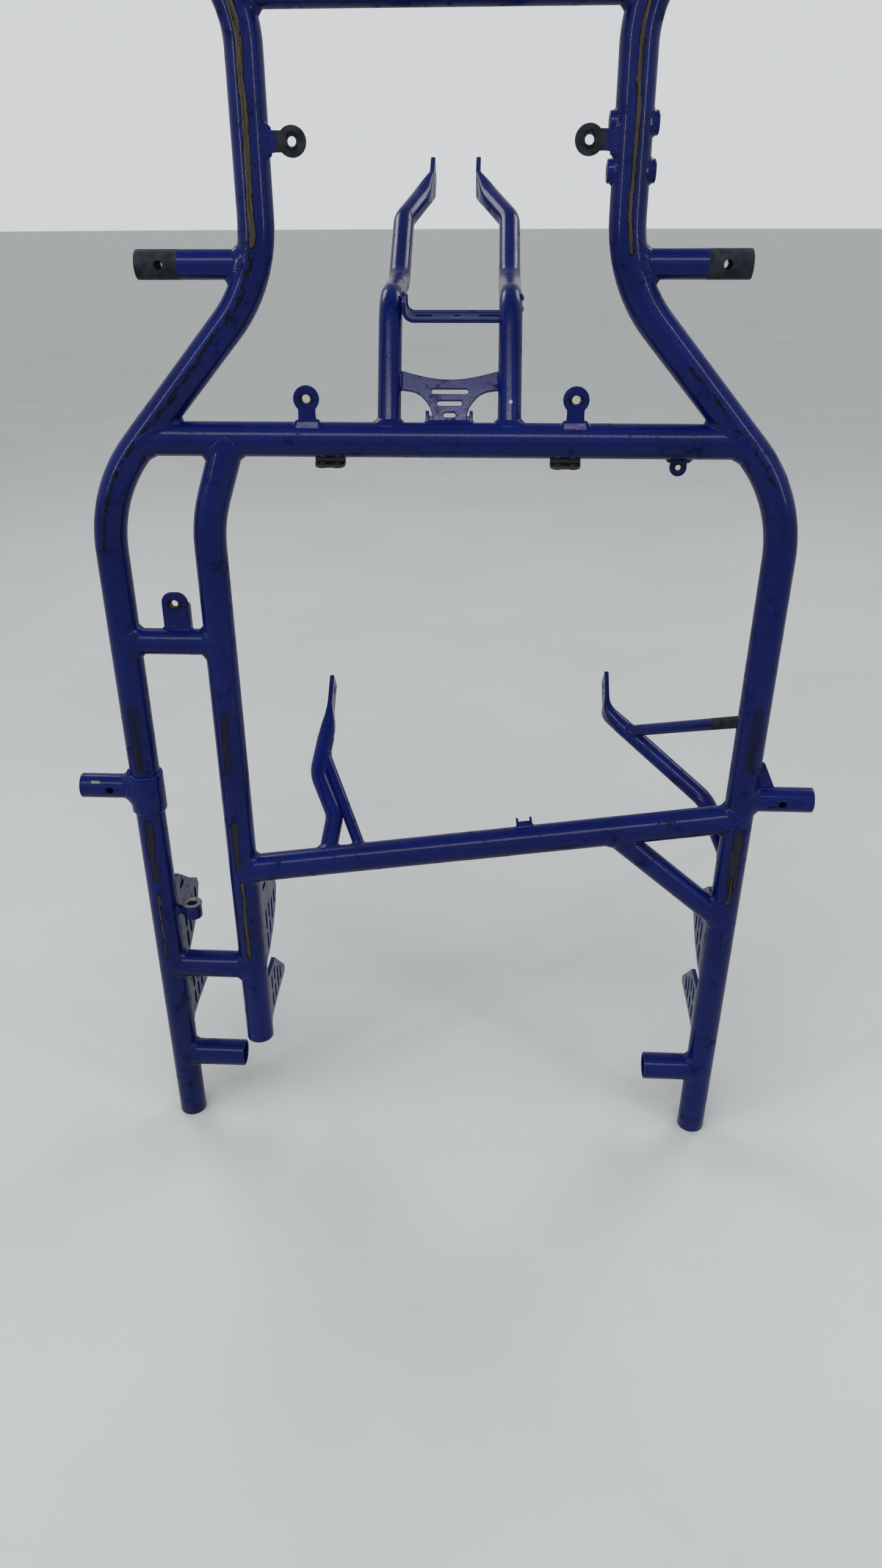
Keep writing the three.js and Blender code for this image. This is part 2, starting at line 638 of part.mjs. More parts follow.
// Squashes each of a swept tube's sections by how far it lies from the tip.
function squash(geometry, stations, taperEnd, blade, od) {
  const position = geometry.attributes.position;
  const point = v3(0, 0, 0);
  const tip = stations[stations.length - 1].point;
  for (let i = 0; i < position.count; i += 1) {
    point.fromBufferAttribute(position, i);
    const station = stations.find((one) => {
      const arm = point.clone().sub(one.point);
      return Math.abs(arm.dot(one.tangent)) < 0.01 && arm.length() < od;
    });
    const share = 1 - THREE.MathUtils.smoothstep(station.point.distanceTo(tip), blade, taperEnd);
    const thin = v3(1, 0, 0).addScaledVector(station.tangent, -station.tangent.x).normalize();
    const wide = thin.clone().cross(station.tangent);
    const arm = point.clone().sub(station.point);
    const out = arm.dot(thin);
    const most = THREE.MathUtils.lerp(od / 2, BLADE_THICKNESS / 2, share);
    point.addScaledVector(thin, THREE.MathUtils.clamp(out, -most, most) - out);
    point.addScaledVector(wide, arm.dot(wide) * share * (BLADE_SPREAD - 1));
    position.setXYZ(i, point.x, point.y, point.z);
  }
}

const leanDirection = v3(0, Math.sin(UPRIGHT_LEAN), Math.cos(UPRIGHT_LEAN));
// Corners of each upright: root on the cross tube, the elbow's two bends, upper bend, start of the blade, tip.
const UPRIGHTS = {
  right: [
    v3(-49, 0, 842),
    v3(-50, 60, 961),
    v3(-51, 168, 968),
    v3(-52, 256, 1025),
    v3(-26, 342, 1060),
    v3(-26, 366.6, 1075.4),
  ],
  left: [
    v3(64, 0, 842),
    v3(63, 60, 961),
    v3(62, 168, 968),
    v3(61, 256, 1025),
    v3(25, 342, 1060),
    v3(25, 366.6, 1075.4),
  ],
};
const UPRIGHT_BENDS = [40, 60, 45, 24];
// A small drain hole crosses the left upright near its root.
const DRAIN = { radius: 1.8, centre: v3(64.7, 16.5, 874.4), direction: v3(0.01, 0.99, -0.145) };
const drainHole = cylinder(DRAIN.radius, 80, DRAIN.centre, DRAIN.direction);
for (const [side, corners] of Object.entries(UPRIGHTS)) {
  const solid = bladedTube(corners, UPRIGHT_BENDS, UPRIGHT_OD, UPRIGHT_BLADE, centreCrossRoom);
  add(`steering_upright_${side}`, side === 'left' ? cut(solid, drainHole) : solid);
}
const uprightRooms = Object.values(UPRIGHTS).map((corners) => {
  return room(new BentPath(corners.slice(0, 3), UPRIGHT_BENDS.slice(0, 1)), UPRIGHT_OD);
});

// The slotted plate lies in the plane of the uprights' lower legs; its outline is measured from the
// cross tube's axis, and it is the same on both sides of its middle.
const SLOTTED = { x: 7.5, thickness: 4, reach: 57, root: 8, edge: 64.6, shoulder: 63, dip: 56.4, slotR: 2.5 };
// The lower edge of one arm, from the neck outwards: distance from the middle, height.
const SLOTTED_ARM = [
  [15.7, 17.5],
  [17.2, 26],
  [21.7, 35.4],
  [28, 42],
  [36, 45.5],
  [57, 46.6],
];
const SLOTS = [
  { height: 45.3, half: 15 },
  { height: 34.3, half: 9.4 },
  { height: 23.3, half: 3.4 },
];
function slottedPlate() {
  const s = SLOTTED;
  const shape = new THREE.Shape();
  shape.moveTo(-SLOTTED_ARM[0][0], s.root);
  shape.lineTo(SLOTTED_ARM[0][0], s.root);
  SLOTTED_ARM.forEach(([x, height]) => shape.lineTo(x, height));
  shape.lineTo(s.reach, s.edge);
  shape.lineTo(s.reach - 16, s.shoulder);
  shape.quadraticCurveTo(0, 2 * s.dip - s.shoulder, -s.reach + 16, s.shoulder);
  shape.lineTo(-s.reach, s.edge);
  SLOTTED_ARM.toReversed().forEach(([x, height]) => shape.lineTo(-x, height));
  shape.closePath();
  for (const { height, half } of SLOTS) {
    shape.holes.push(slot(v2(-half, height), v2(half, height), s.slotR));
  }
  const place = axes(v3(s.x, 0, CENTRE_CROSS_Z), v3(1, 0, 0), leanDirection);
  return cut(plate(shape, s.thickness, place), centreCrossRoom, ...uprightRooms);
}
add('slotted_plate', slottedPlate());

// A short channel on the cross tube: two ears beside the slotted plate, joined by a web behind it.
const CHANNEL = { earX: 20.5, earTop: 26, earDepth: 14, wallTop: 24, webTop: 19, webBack: 4.6, thickness: 3 };
function plateChannel() {
  const c = CHANNEL;
  const place = axes(v3(SLOTTED.x, 0, CENTRE_CROSS_Z), v3(1, 0, 0), leanDirection);
  const behind = v3(1, 0, 0).cross(leanDirection);
  const block = (x, halfWidth, top, back, depth) => {
    const low = SLOTTED.root;
    const [from, to] = [x - halfWidth, x + halfWidth];
    const corners = [v2(from, low), v2(to, low), v2(to, top), v2(from, top)];
    const shift = behind.clone().multiplyScalar(-back);
    return plate(new THREE.Shape(corners), depth, place).translate([shift.x, shift.y, shift.z]);
  };
  const parts = [block(0, c.earX, c.webTop, c.webBack, c.thickness)];
  for (const side of [-1, 1]) {
    parts.push(block(side * c.earX, c.thickness / 2, c.earTop, 0, c.earDepth));
    parts.push(block(side * (c.earX - c.thickness), c.thickness, c.wallTop, c.webBack, c.thickness));
  }
  return cut(parts.reduce((whole, part) => whole.add(part)), centreCrossRoom);
}
add('plate_channel', plateChannel());

// The strap crosses between the uprights' elbows, tipped a little, and turns up beside the right one.
const STRAP = { y: 54.5, z: 945, width: 24, thickness: 3, flange: 18, bend: 11, leftX: 57, rightX: -38 };
const STRAP_TIP = THREE.MathUtils.degToRad(14.5);
const STRAP_SLOTS = [
  { from: -23.6, to: -13, radius: 3 },
  { from: 11.6, to: 14, radius: 2 },
  { from: 35.5, to: 50.4, radius: 3 },
];
function columnStrap() {
  const { leftX, rightX, thickness: t, bend: r } = STRAP;
  const up = v3(0, -Math.sin(STRAP_TIP), Math.cos(STRAP_TIP));
  const shape = new THREE.Shape();
  shape.moveTo(leftX, 0);
  shape.lineTo(leftX, t);
  shape.lineTo(rightX + r, t);
  shape.absarc(rightX + r, r, r - t, -Math.PI / 2, -Math.PI, true);
  shape.lineTo(rightX + t, STRAP.flange);
  shape.lineTo(rightX, STRAP.flange);
  shape.lineTo(rightX, r);
  shape.absarc(rightX + r, r, r, Math.PI, 1.5 * Math.PI, false);
  shape.closePath();
  const origin = v3(0, STRAP.y, STRAP.z);
  const solid = plate(shape, STRAP.width, axes(origin, v3(1, 0, 0), up));
  const slots = STRAP_SLOTS.map(({ from, to, radius }) => {
    const ends = [from, to].map((x) => cylinder(radius, 30, origin.clone().add(v3(x, 0, 0)), up));
    return wasm.Manifold.hull(ends);
  });
  return cut(solid, ...slots, ...uprightRooms);
}
add('column_strap', columnStrap());

// ---- seat stays ------------------------------------------------------------------------------

const rightStayCorners = [
  v3(-132, 0, rearCrossZ(-132)),
  v3(-126, 42, 413),
  v3(-150, 84, 446),
  v3(-142, 142, 490),
  v3(-142, 184, 523),
];
const leftStayCorners = [
  v3(railX(LEFT_TAIL_X, 385), 0, 385),
  v3(300, 66, 430),
  v3(189, 156, 500),
  v3(189, 193, 530),
];
const rightStay = bladedTube(rightStayCorners, [30, 50, 40], STAY_OD, STAY_BLADE, rearCrossRoom);
const leftStay = bladedTube(leftStayCorners, [45, 22], STAY_OD, STAY_BLADE, leftRoom, rearCrossRoom);
add('seat_stay_right', rightStay);
add('seat_stay_left', leftStay);

const rightStayRoom = room(new BentPath(rightStayCorners.slice(0, 4), [30, 50]), STAY_OD);
const leftStayRoom = room(new BentPath(leftStayCorners.slice(0, 3), [45]), STAY_OD + 5);
const rightStrutRoot = v3(-89, 0, rearCrossZ(-89));
add(
  'seat_strut_right',
  straightTube(rightStrutRoot, v3(-146, 108, 464), STRUT_OD, THIN_WALL, rearCrossRoom, rightStayRoom),
);
const leftStrutRoot = v3(railX(LEFT_TAIL_X, 560), 0, 560);
add(
  'seat_strut_left',
  straightTube(leftStrutRoot, v3(214, 136, 484), STRUT_OD, THIN_WALL, leftRoom, leftStayRoom),
);
add('cable_guide', cableGuide());

// ---- bearing hangers: each is a front and a rear lug of slotted plate beside a rail ----------

const FRONT_LUG = [
  [346, 4],
  [344, 18],
  [312, 60],
  [296, 86],
  [286, 90],
  [268, 80],
  [247, 58],
  [231, 28],
  [227, 4],
];
const REAR_LUG = [
  [204, 4],
  [204, 50],
  [198, 56],
  [156, 100],
  [148, 98],
  [145, 40],
  [140, 4],
];
// Slots run along the rail in rows, and one short slot crosses the front lug's tip.
const FRONT_SLOTS = [
  [240, 24, 256, 24],
  [268, 24, 288, 24],
  [250, 40, 264, 40],
  [274, 40, 290, 40],
  [262, 56, 286, 56],
  [274, 72, 288, 72],
  [325, 20, 325, 30],
];
const REAR_SLOTS = [
  [152, 24, 166, 24],
  [178, 24, 192, 24],
  [154, 40, 168, 40],
  [179, 40, 193, 40],
  [156, 56, 184, 56],
  [158, 72, 172, 72],
];

function hangerLug(outline, slots, planeX, ownRoom) {
  const shape = new THREE.Shape(outline.map(([z, y]) => v2(z, y)));
  slots.forEach(([z0, y0, z1, y1]) => shape.holes.push(slot(v2(z0, y0), v2(z1, y1), 3)));
  return cut(plate(shape, LUG_THICKNESS, axes(v3(planeX, 0, 0), v3(0, 0, 1), v3(0, 1, 0))), ownRoom);
}

const HANGERS = {
  right: { planeX: railX(RIGHT_TAIL_X, 240) + LUG_OFFSET, ownRoom: rightRoom },
  engine: { planeX: engineX(240) + LUG_OFFSET, ownRoom: engineRoom },
  left: { planeX: railX(LEFT_TAIL_X, 240) - LUG_OFFSET, ownRoom: leftRoom },
};
const bayRearRoom = room(new BentPath([v3(-330, 0, BAY_TUBE_REAR_Z), v3(-220, 0, BAY_TUBE_REAR_Z)]), MAIN_OD);
const braceRoom = room(new BentPath([braceFrom, braceTo]), MEDIUM_OD);
for (const [name, { planeX, ownRoom }] of Object.entries(HANGERS)) {
  const clear = (lug) => cut(lug, bayRearRoom, braceRoom);
  add(`hanger_${name}_front_lug`, clear(hangerLug(FRONT_LUG, FRONT_SLOTS, planeX, ownRoom)));
  add(`hanger_${name}_rear_lug`, clear(hangerLug(REAR_LUG, REAR_SLOTS, planeX, ownRoom)));
}

// ---- pedal clevises and the steering column's lower bearing lug ------------------------------

function pedalClevis(side) {
  const earGap = 14;
  const legX = side * HOOP_HALF;
  const rootX = legX - (side * HOOP_OD) / 2;
  const ear = (z) => {
    const shape = new THREE.Shape();
    shape.moveTo(10, 0);
    shape.lineTo(10, 24);
    shape.absarc(0, 24, 10, 0, Math.PI, false);
    shape.lineTo(-10, 0);
    shape.closePath();
    shape.holes.push(roundHole(0, 24, 4));
    return plate(shape, 4, axes(v3(rootX - side * 13, 0, z), v3(1, 0, 0), v3(0, 1, 0)));
  };
  const baseCentre = v3(rootX - side * 13, 2, 1340);
  const base = box(baseCentre, v3(26, 4, earGap + 8));
  return cut(base.add(ear(1340 - earGap / 2 - 2)).add(ear(1340 + earGap / 2 + 2)), hoopRoom);
}
add('pedal_clevis_right', pedalClevis(-1));
add('pedal_clevis_left', pedalClevis(1));

const columnLugShape = eyeShape(13, 5, 20, 46, 46 - HOOP_OD / 2 + 1);
const columnLugAxes = axes(v3(0, 46, FRONT_CROSS_Z), v3(1, 0, 0), v3(0, 1, 0));
add('column_foot_lug', cut(plate(columnLugShape, 6, columnLugAxes), room(frontCrossPath, HOOP_OD)));

// The frame's origin is the middle of its box, at the bottom.
const bounds = new THREE.Box3().setFromObject(frame);
const middle = bounds.getCenter(v3(0, 0, 0));
frame.position.set(-middle.x, -middle.y, -bounds.min.z);

export default frame;
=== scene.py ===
import math

import bmesh
import bpy
import numpy as np
from mathutils import Matrix, Vector
from mathutils.geometry import tessellate_polygon


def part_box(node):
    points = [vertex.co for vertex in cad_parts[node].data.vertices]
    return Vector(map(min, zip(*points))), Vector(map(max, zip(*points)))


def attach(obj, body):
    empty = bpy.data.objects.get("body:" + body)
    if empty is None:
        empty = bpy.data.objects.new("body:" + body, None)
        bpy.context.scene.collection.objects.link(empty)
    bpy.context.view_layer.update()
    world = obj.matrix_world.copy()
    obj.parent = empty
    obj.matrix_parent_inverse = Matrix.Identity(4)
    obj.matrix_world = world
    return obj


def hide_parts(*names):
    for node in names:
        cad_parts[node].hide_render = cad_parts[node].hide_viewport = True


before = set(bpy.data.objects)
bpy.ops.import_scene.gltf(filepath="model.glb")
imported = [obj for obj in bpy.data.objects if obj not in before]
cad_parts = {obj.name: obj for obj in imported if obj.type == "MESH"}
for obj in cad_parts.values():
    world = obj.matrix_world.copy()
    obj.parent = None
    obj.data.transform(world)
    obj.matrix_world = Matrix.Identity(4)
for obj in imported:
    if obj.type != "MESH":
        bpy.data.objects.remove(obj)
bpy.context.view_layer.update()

# All shapes below are drawn in millimetres, in the frame's own axes, with Y = 0 in the plane of the
# main tubes' axes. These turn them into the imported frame's metres.
MM = 0.001
rail_low, rail_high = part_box("engine_rail")
AXIS_Y = (rail_low.y + rail_high.y) / 2
TO_FRAME = np.array([0.0, AXIS_Y, 0.0])

# Tubes, as in the CAD part.
MAIN_OD = 32
MAIN_WALL = 2
MEDIUM_OD = 27
SLEEVE_OD = 38
POD_FRONT_OD = 25
HOOP_OD = 28
UPRIGHT_OD = 22
STAY_OD = 20
STRUT_OD = 13
THIN_WALL = 1.5

# The ladder and what stands on it, as in the CAD part.
RIGHT_TAIL_X = -324
LEFT_TAIL_X = 315
BAY_HALF = 329.5
BAY_TOP_Z = 790
WAIST_HALF = 161
WAIST_Z = 979
ARM_BEND_Z = 1222
ARM_END_X = 341
ARM_END_Z = 1270
RAIL_BENDS = (150, 130, 90)
ENGINE_TAIL_X = -227
ENGINE_TAIL_Z = 122
ENGINE_BEND_X = -229.3
ENGINE_BEND_Z = 763
ENGINE_BEND = 150
ENGINE_TOP_X = -201.7
CENTRE_CROSS_Z = 842
CENTRE_CROSS_END = 283
REAR_CROSS_Z = 396.6
REAR_CROSS_SLOPE = 0.147
BAY_TUBE_FRONT_Z = 638
BAY_TUBE_REAR_Z = 229
BRACE_TOP_X = 187
BRACE_END_Z = 311.4
FRONT_CROSS_Z = 1193
FRONT_CROSS_END = 169
HOOP_HALF = 190
HOOP_ROOT_Z = 1219
HOOP_TOP_Z = 1436
HOOP_BEND = 75
NOSE_Z = 1496
POD_FRONT_Z = 992
POD_FRONT_END = 270.5
POD_FRONT_HOLE_X = 248.5
POD_REAR_Z = 468
POD_REAR_END = 399
POD_REAR_HOLE_X = 365
BUMPER_REAR_Z = 92.5
BUMPER_REAR_END = 248
BUMPER_FRONT_X = 110
SLEEVE_LOW_Z = 440
SLEEVE_HIGH_Z = 486
BOSS_PLACES = {"rail_boss_front": 1098, "rail_boss_rear": 1063}
BOSS_HOLE_R = 8.15
YOKE_Z = 1271
BUSH_X = -293
BUSH_Z = 307
BOLT_R = 4.1
TRAY_TAB_X = 124.5
TRAY_TAB_Y = -6
TRAY_TAB_FRONT_Z = 1086
TRAY_TAB_REAR_Z = 879.5
PLATE_MIDDLE_X = 7.5

# Facets round a tube: more on the main tubes, and on the stubs, whose ends and holes show.
SIDES = 56
MAIN_SIDES = 64
STUB_SIDES = 72
BEAD_STEP = 0.75
# How much bare metal shows on the rim of an open tube, and how far back its lip begins.
OPEN_RIM_WEAR = 0.25
LIP_ROOM = 1.2

SIDE_SIGNS = (("right", -1), ("left", 1))


def unit(v):
    v = np.asarray(v, float)
    return v / np.maximum(np.linalg.norm(v, axis=-1, keepdims=True), 1e-12)


def smoothstep(x, lo, hi):
    t = np.clip((np.asarray(x, float) - lo) / (hi - lo), 0, 1)
    return t * t * (3 - 2 * t)


def window(x, lo, hi, soft):
    """One between lo and hi, falling to nothing over a soft edge outside them."""
    return smoothstep(x, lo - soft, lo) * (1 - smoothstep(x, hi, hi + soft))


# ---- paths and the surfaces of tubes ----------------------------------------------------------


class Path:
    """A run of straight lines and round bends, as stations with a heading at each."""

    def __init__(self, corners, radii=(), turn=4.0, spacing=None):
        corners = [np.array(c, float) for c in corners]
        points, headings = [corners[0]], [unit(corners[1] - corners[0])]
        for before, corner, after, radius in zip(corners, corners[1:], corners[2:], radii):
            incoming, outgoing = unit(corner - before), unit(after - corner)
            angle = math.acos(np.clip(incoming @ outgoing, -1, 1))
            start = corner - incoming * radius * math.tan(angle / 2)
            inward = unit(outgoing - incoming * (incoming @ outgoing))
            centre = start + inward * radius
            steps = max(2, math.ceil(math.degrees(angle) / turn))
            for i in range(steps + 1):
                a = angle * i / steps
                points.append(centre - inward * radius * math.cos(a) + incoming * radius * math.sin(a))
                headings.append(incoming * math.cos(a) + inward * math.sin(a))
        points.append(corners[-1])
        headings.append(unit(corners[-1] - corners[-2]))
        self.points, self.headings = np.array(points), np.array(headings)
        if spacing:
            self.divide(spacing)
        steps = np.linalg.norm(np.diff(self.points, axis=0), axis=1)
        self.along = np.concatenate([[0], np.cumsum(steps)])

    def divide(self, spacing):
        points, headings = [self.points[0]], [self.headings[0]]
        for a, b, ta, tb in zip(self.points, self.points[1:], self.headings, self.headings[1:]):
            parts = max(1, int(round(np.linalg.norm(b - a) / spacing)))
            for i in range(1, parts + 1):
                points.append(a + (b - a) * i / parts)
                headings.append(unit(ta + (tb - ta) * i / parts))
        self.points, self.headings = np.array(points), np.array(headings)

    @property
    def length(self):
        return self.along[-1]


class TubeSkin:
    """The outer surface of a tube, for its neighbours to be fitted to."""

    def __init__(self, path, od):
        self.a, self.b, self.radius = path.points[:-1], path.points[1:], od / 2

    def nearest(self, q):
        q = np.atleast_2d(q)[:, None, :]
        run = self.b - self.a
        t = np.clip(((q - self.a) * run).sum(-1) / np.maximum((run * run).sum(-1), 1e-12), 0, 1)
        foot = self.a + run * t[..., None]
        gap = np.linalg.norm(q - foot, axis=-1)
        best = gap.argmin(1)
        rows = np.arange(len(best))
        return foot[rows, best], gap[rows, best]

    def distance(self, q):
        return self.nearest(q)[1] - self.radius

    def normal(self, q):
        return unit(np.atleast_2d(q) - self.nearest(q)[0])


class FlatSkin:
    """A plane that a tube's end lies in; its normal points to the tube's side."""

    def __init__(self, point, normal):
        self.point, self.direction = np.array(point, float), unit(normal)

    def distance(self, q):
        return (np.atleast_2d(q) - self.point) @ self.direction

    def normal(self, q):
        return np.repeat(self.direction[None], len(np.atleast_2d(q)), 0)


class Joined:
    """Two or more skins that a tube's end is fitted to together."""

    def __init__(self, *skins):
        self.skins = skins

    def distance(self, q):
        return np.min([s.distance(q) for s in self.skins], axis=0)

    def normal(self, q):
        closest = np.argmin([s.distance(q) for s in self.skins], axis=0)
        normals = np.array([s.normal(q) for s in self.skins])
        return normals[closest, np.arange(len(closest))]


def shoot(points, direction, skin, depth=0.0, stop=None):
    """Moves points along a direction onto the skin, or just under it, and no farther than stop."""
    room = (np.asarray(stop) - points) @ direction if stop is not None else np.inf
    gone = np.zeros(len(points))
    for _ in range(60):
        step = skin.distance(points + direction * gone[:, None]) + depth
        gone = np.minimum(gone + step, room)
    return points + direction * gone[:, None]


# ---- a mesh in the making ---------------------------------------------------------------------

WEAR_KINDS = ("scrape", "line", "scuff", "bare")


class Builder:
    def __init__(self):
        self.verts, self.faces, self.corners = [], [], []
        self.wear = {k: [] for k in WEAR_KINDS}
        self.count = 0
        self.flats = set()

    def add(self, points, along=0.0, **wear):
        points = np.asarray(points, float)
        self.verts.append(points)
        for kind in WEAR_KINDS:
            value = wear.get(kind, 0.0)
            self.wear[kind].append(np.broadcast_to(np.asarray(value, float), (len(points),)))
        start = self.count
        self.count += len(points)
        return start, len(points), along

    def bridge(self, one, two, reach=100.0):
        (a, n, s), (b, _, t) = one, two
        for j in range(n):
            k = (j + 1) % n
            self.faces.append((a + j, a + k, b + k, b + j))
            left, right = j * reach / n * MM, (j + 1) * reach / n * MM
            self.corners.append(((s * MM, left), (s * MM, right), (t * MM, right), (t * MM, left)))

    def cap(self, ring):
        a, n, s = ring
        self.faces.append(tuple(range(a, a + n)))
        self.corners.append(tuple((s * MM, 0.0) for _ in range(n)))

    def chain(self, rings, reach):
        for one, two in zip(rings, rings[1:]):
            self.bridge(one, two, reach)

    def tube_of(self, rings, closed=False, reach=10.0):
        """Bridges rings in turn, and closes the ends with caps or on each other."""
        self.chain(rings, reach)
        if closed:
            self.bridge(rings[-1], rings[0], reach)
        else:
            self.cap(rings[0])
            self.cap(rings[-1])

    def mesh(self, name):
        points = np.concatenate(self.verts) * MM + TO_FRAME
        made = bpy.data.meshes.new(name)
        made.from_pydata(points.tolist(), [], self.faces)
        layer = made.uv_layers.new(name="tube")
        flat = [c for face in self.corners for c in face]
        layer.data.foreach_set("uv", np.array(flat, "f").ravel())
        for kind in WEAR_KINDS:
            values = np.concatenate(self.wear[kind]).astype("f")
            made.attributes.new(kind, "FLOAT", "POINT").data.foreach_set("value", values)
        work = bmesh.new()
        work.from_mesh(made)
        bmesh.ops.recalc_face_normals(work, faces=work.faces)
        work.to_mesh(made)
        work.free()
        return made


def dust_of(name):
    return np.random.default_rng(sum((i + 1) * ord(c) for i, c in enumerate(name)))


def waver(count, step, rng, wave):
    """A smooth random line of the given wavelength that closes on itself, within about one each way."""
    x = np.arange(count) * step
    total = count * step
    line = np.zeros(count)
    for k in range(1, 5):
        turns = max(1, round(total / wave * k / 2))
        line += np.sin(2 * math.pi * (turns * x / total + rng.random())) / k
    return line / 2


def resample(points, step):
    """Even points along a closed line."""
    loop = np.vstack([points, points[:1]])
    along = np.concatenate([[0], np.cumsum(np.linalg.norm(np.diff(loop, axis=0), axis=1))])
    count = max(12, int(round(along[-1] / step)))
    at = np.arange(count) * along[-1] / count
    return np.stack([np.interp(at, along, loop[:, i]) for i in range(3)], 1), along[-1] / count


def weld(build, ring, away, skin, leg, rng, hollow=0.36):
    """A fillet weld along the closed line where a tube or plate meets a skin, with uneven legs."""
    line, step = resample(ring, BEAD_STEP)
    count = len(line)
    tangent = np.roll(line, -1, axis=0) - np.roll(line, 1, axis=0)
    out = unit(np.cross(tangent, away))
    if (out * (line - line.mean(0))).sum() < 0:
        out = -out
    up = skin.normal(line)
    facing = (out * up).sum(1)[:, None]
    down = -away + (up @ away)[:, None] * up
    foot = unit(out - facing * up + 0.35 * down)
    bulge = unit(out + up) * (0.1 + 0.7 * np.clip(facing, 0, 1) ** 2)
    x = np.arange(count) * step
    pitch = count * step / max(1, round(count * step / 2.6))
    ripple = np.abs(np.sin(math.pi * x / pitch))
    size = leg * (1 + 0.10 * waver(count, step, rng, 40) + 0.05 * ripple)
    size_foot = leg * (1 + 0.12 * waver(count, step, rng, 30) + 0.05 * ripple)
    swell = hollow + 0.07 * ripple + 0.05 * waver(count, step, rng, 25)
    top = line + away * size[:, None]
    root = line + foot * size_foot[:, None]
    root -= up * skin.distance(root)[:, None]
    middle = line + (away * size[:, None] + foot * size_foot[:, None]) * swell[:, None] + bulge
    rows = [line - out * 1.2 - up * 1.2, top - out * 1.0, top + out * 0.12]
    for t in (0.2, 0.4, 0.6, 0.8):
        rows.append(top * (1 - t) ** 2 + middle * 2 * t * (1 - t) + root * t * t + bulge * 0.2)
    rows += [root + up * 0.12, root - up * 1.0]
    rows = np.stack(rows, 1)
    rings = [build.add(section, along=x[i]) for i, section in enumerate(rows)]
    build.tube_of(rings, closed=True)


def bead(build, points, radius, rng):
    """A short run of weld along an open line, round in section and tapered at both ends."""
    points = np.array(points, float)
    along = np.concatenate([[0], np.cumsum(np.linalg.norm(np.diff(points, axis=0), axis=1))])
    count = max(6, int(along[-1] / BEAD_STEP))
    at = np.linspace(0, along[-1], count)
    line = np.stack([np.interp(at, along, points[:, i]) for i in range(3)], 1)
    heading = unit(np.gradient(line, axis=0))
    side = unit(np.cross(heading, [0.31, 0.17, 0.93]))
    other = np.cross(heading, side)
    edge = np.minimum(at, along[-1] - at)
    swell = np.sqrt(np.clip(edge / radius, 0.02, 1))
    ripple = 1 + 0.10 * np.abs(np.sin(math.pi * at / 2.4)) + 0.06 * waver(count, BEAD_STEP, rng, 18)
    turn = np.arange(10) * 2 * math.pi / 10
    rings = []
    for i in range(count):
        r = radius * swell[i] * ripple[i]
        circle = line[i] + r * (np.cos(turn)[:, None] * side[i] + np.sin(turn)[:, None] * other[i])
        rings.append(build.add(circle, along=at[i]))
    build.tube_of(rings)


# ---- objects and materials --------------------------------------------------------------------

materials = {}


def placed(name, data):
    obj = bpy.data.objects.new(name, data)
    bpy.context.scene.collection.objects.link(obj)
    return obj


def crease(mesh, flats):
    """Keeps flat faces flat: the edges between them and their rounded rims are sharp."""
    work = bmesh.new()
    work.from_mesh(mesh)
    for edge in work.edges:
        beside = [face.index in flats for face in edge.link_faces]
        if len(beside) == 2 and beside[0] != beside[1]:
            edge.smooth = False
    work.to_mesh(mesh)
    work.free()


def finish_object(name, mesh, material, sharp=35, flats=()):
    """Makes a mesh the piece that stands for the CAD node of the same name."""
    obj = placed(name, mesh)
    mesh.materials.append(materials[material])
    mesh.shade_smooth()
    mesh.set_sharp_from_angle(angle=math.radians(sharp))
    if flats:
        crease(mesh, flats)
    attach(obj, "root")
    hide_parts(name)
    return obj


def settle(obj):
    """Replaces an object's mesh by what its modifiers make of it."""
    graph = bpy.context.evaluated_depsgraph_get()
    made = bpy.data.meshes.new_from_object(obj.evaluated_get(graph))
    old = obj.data
    obj.modifiers.clear()
    obj.data = made
    bpy.data.meshes.remove(old)
    made.name = obj.name


def rod(radius, a, b, sides=40):
    """A plain closed round cutter between two points, in drawing millimetres."""
    a, b = np.array(a, float), np.array(b, float)
    heading = unit(b - a)
    side = unit(np.cross(heading, [0.3, 0.9, 0.2]))
    other = np.cross(heading, side)
    turn = np.arange(sides) * 2 * math.pi / sides
    circle = radius * (np.cos(turn)[:, None] * side + np.sin(turn)[:, None] * other)
    build = Builder()
    build.tube_of([build.add(a + circle), build.add(b + circle)])
    return build.mesh("cutter")


def cut(obj, cutters, sharp=35):
    """Takes closed meshes away from a piece."""
    tools = []
    for mesh in cutters:
        tool = placed("cutter", mesh)
        modifier = obj.modifiers.new("cut", "BOOLEAN")
        modifier.operation = "DIFFERENCE"
        modifier.solver = "EXACT"
        modifier.object = tool
        tools.append(tool)
    settle(obj)
    for tool in tools:
        mesh = tool.data
        bpy.data.objects.remove(tool)
        bpy.data.meshes.remove(mesh)
    obj.data.set_sharp_from_angle(angle=math.radians(sharp))


# ---- tubes ------------------------------------------------------------------------------------


def frames_along(path, toward):
    """A side vector at each station, turned as little as can be from one to the next."""
    side = unit(np.array(toward, float) - path.headings[0] * np.dot(toward, path.headings[0]))
    sides = []
    for heading in path.headings:
        side = unit(side - heading * (side @ heading))
        sides.append(side)
    sides = np.array(sides)
    return sides, np.cross(path.headings, sides)


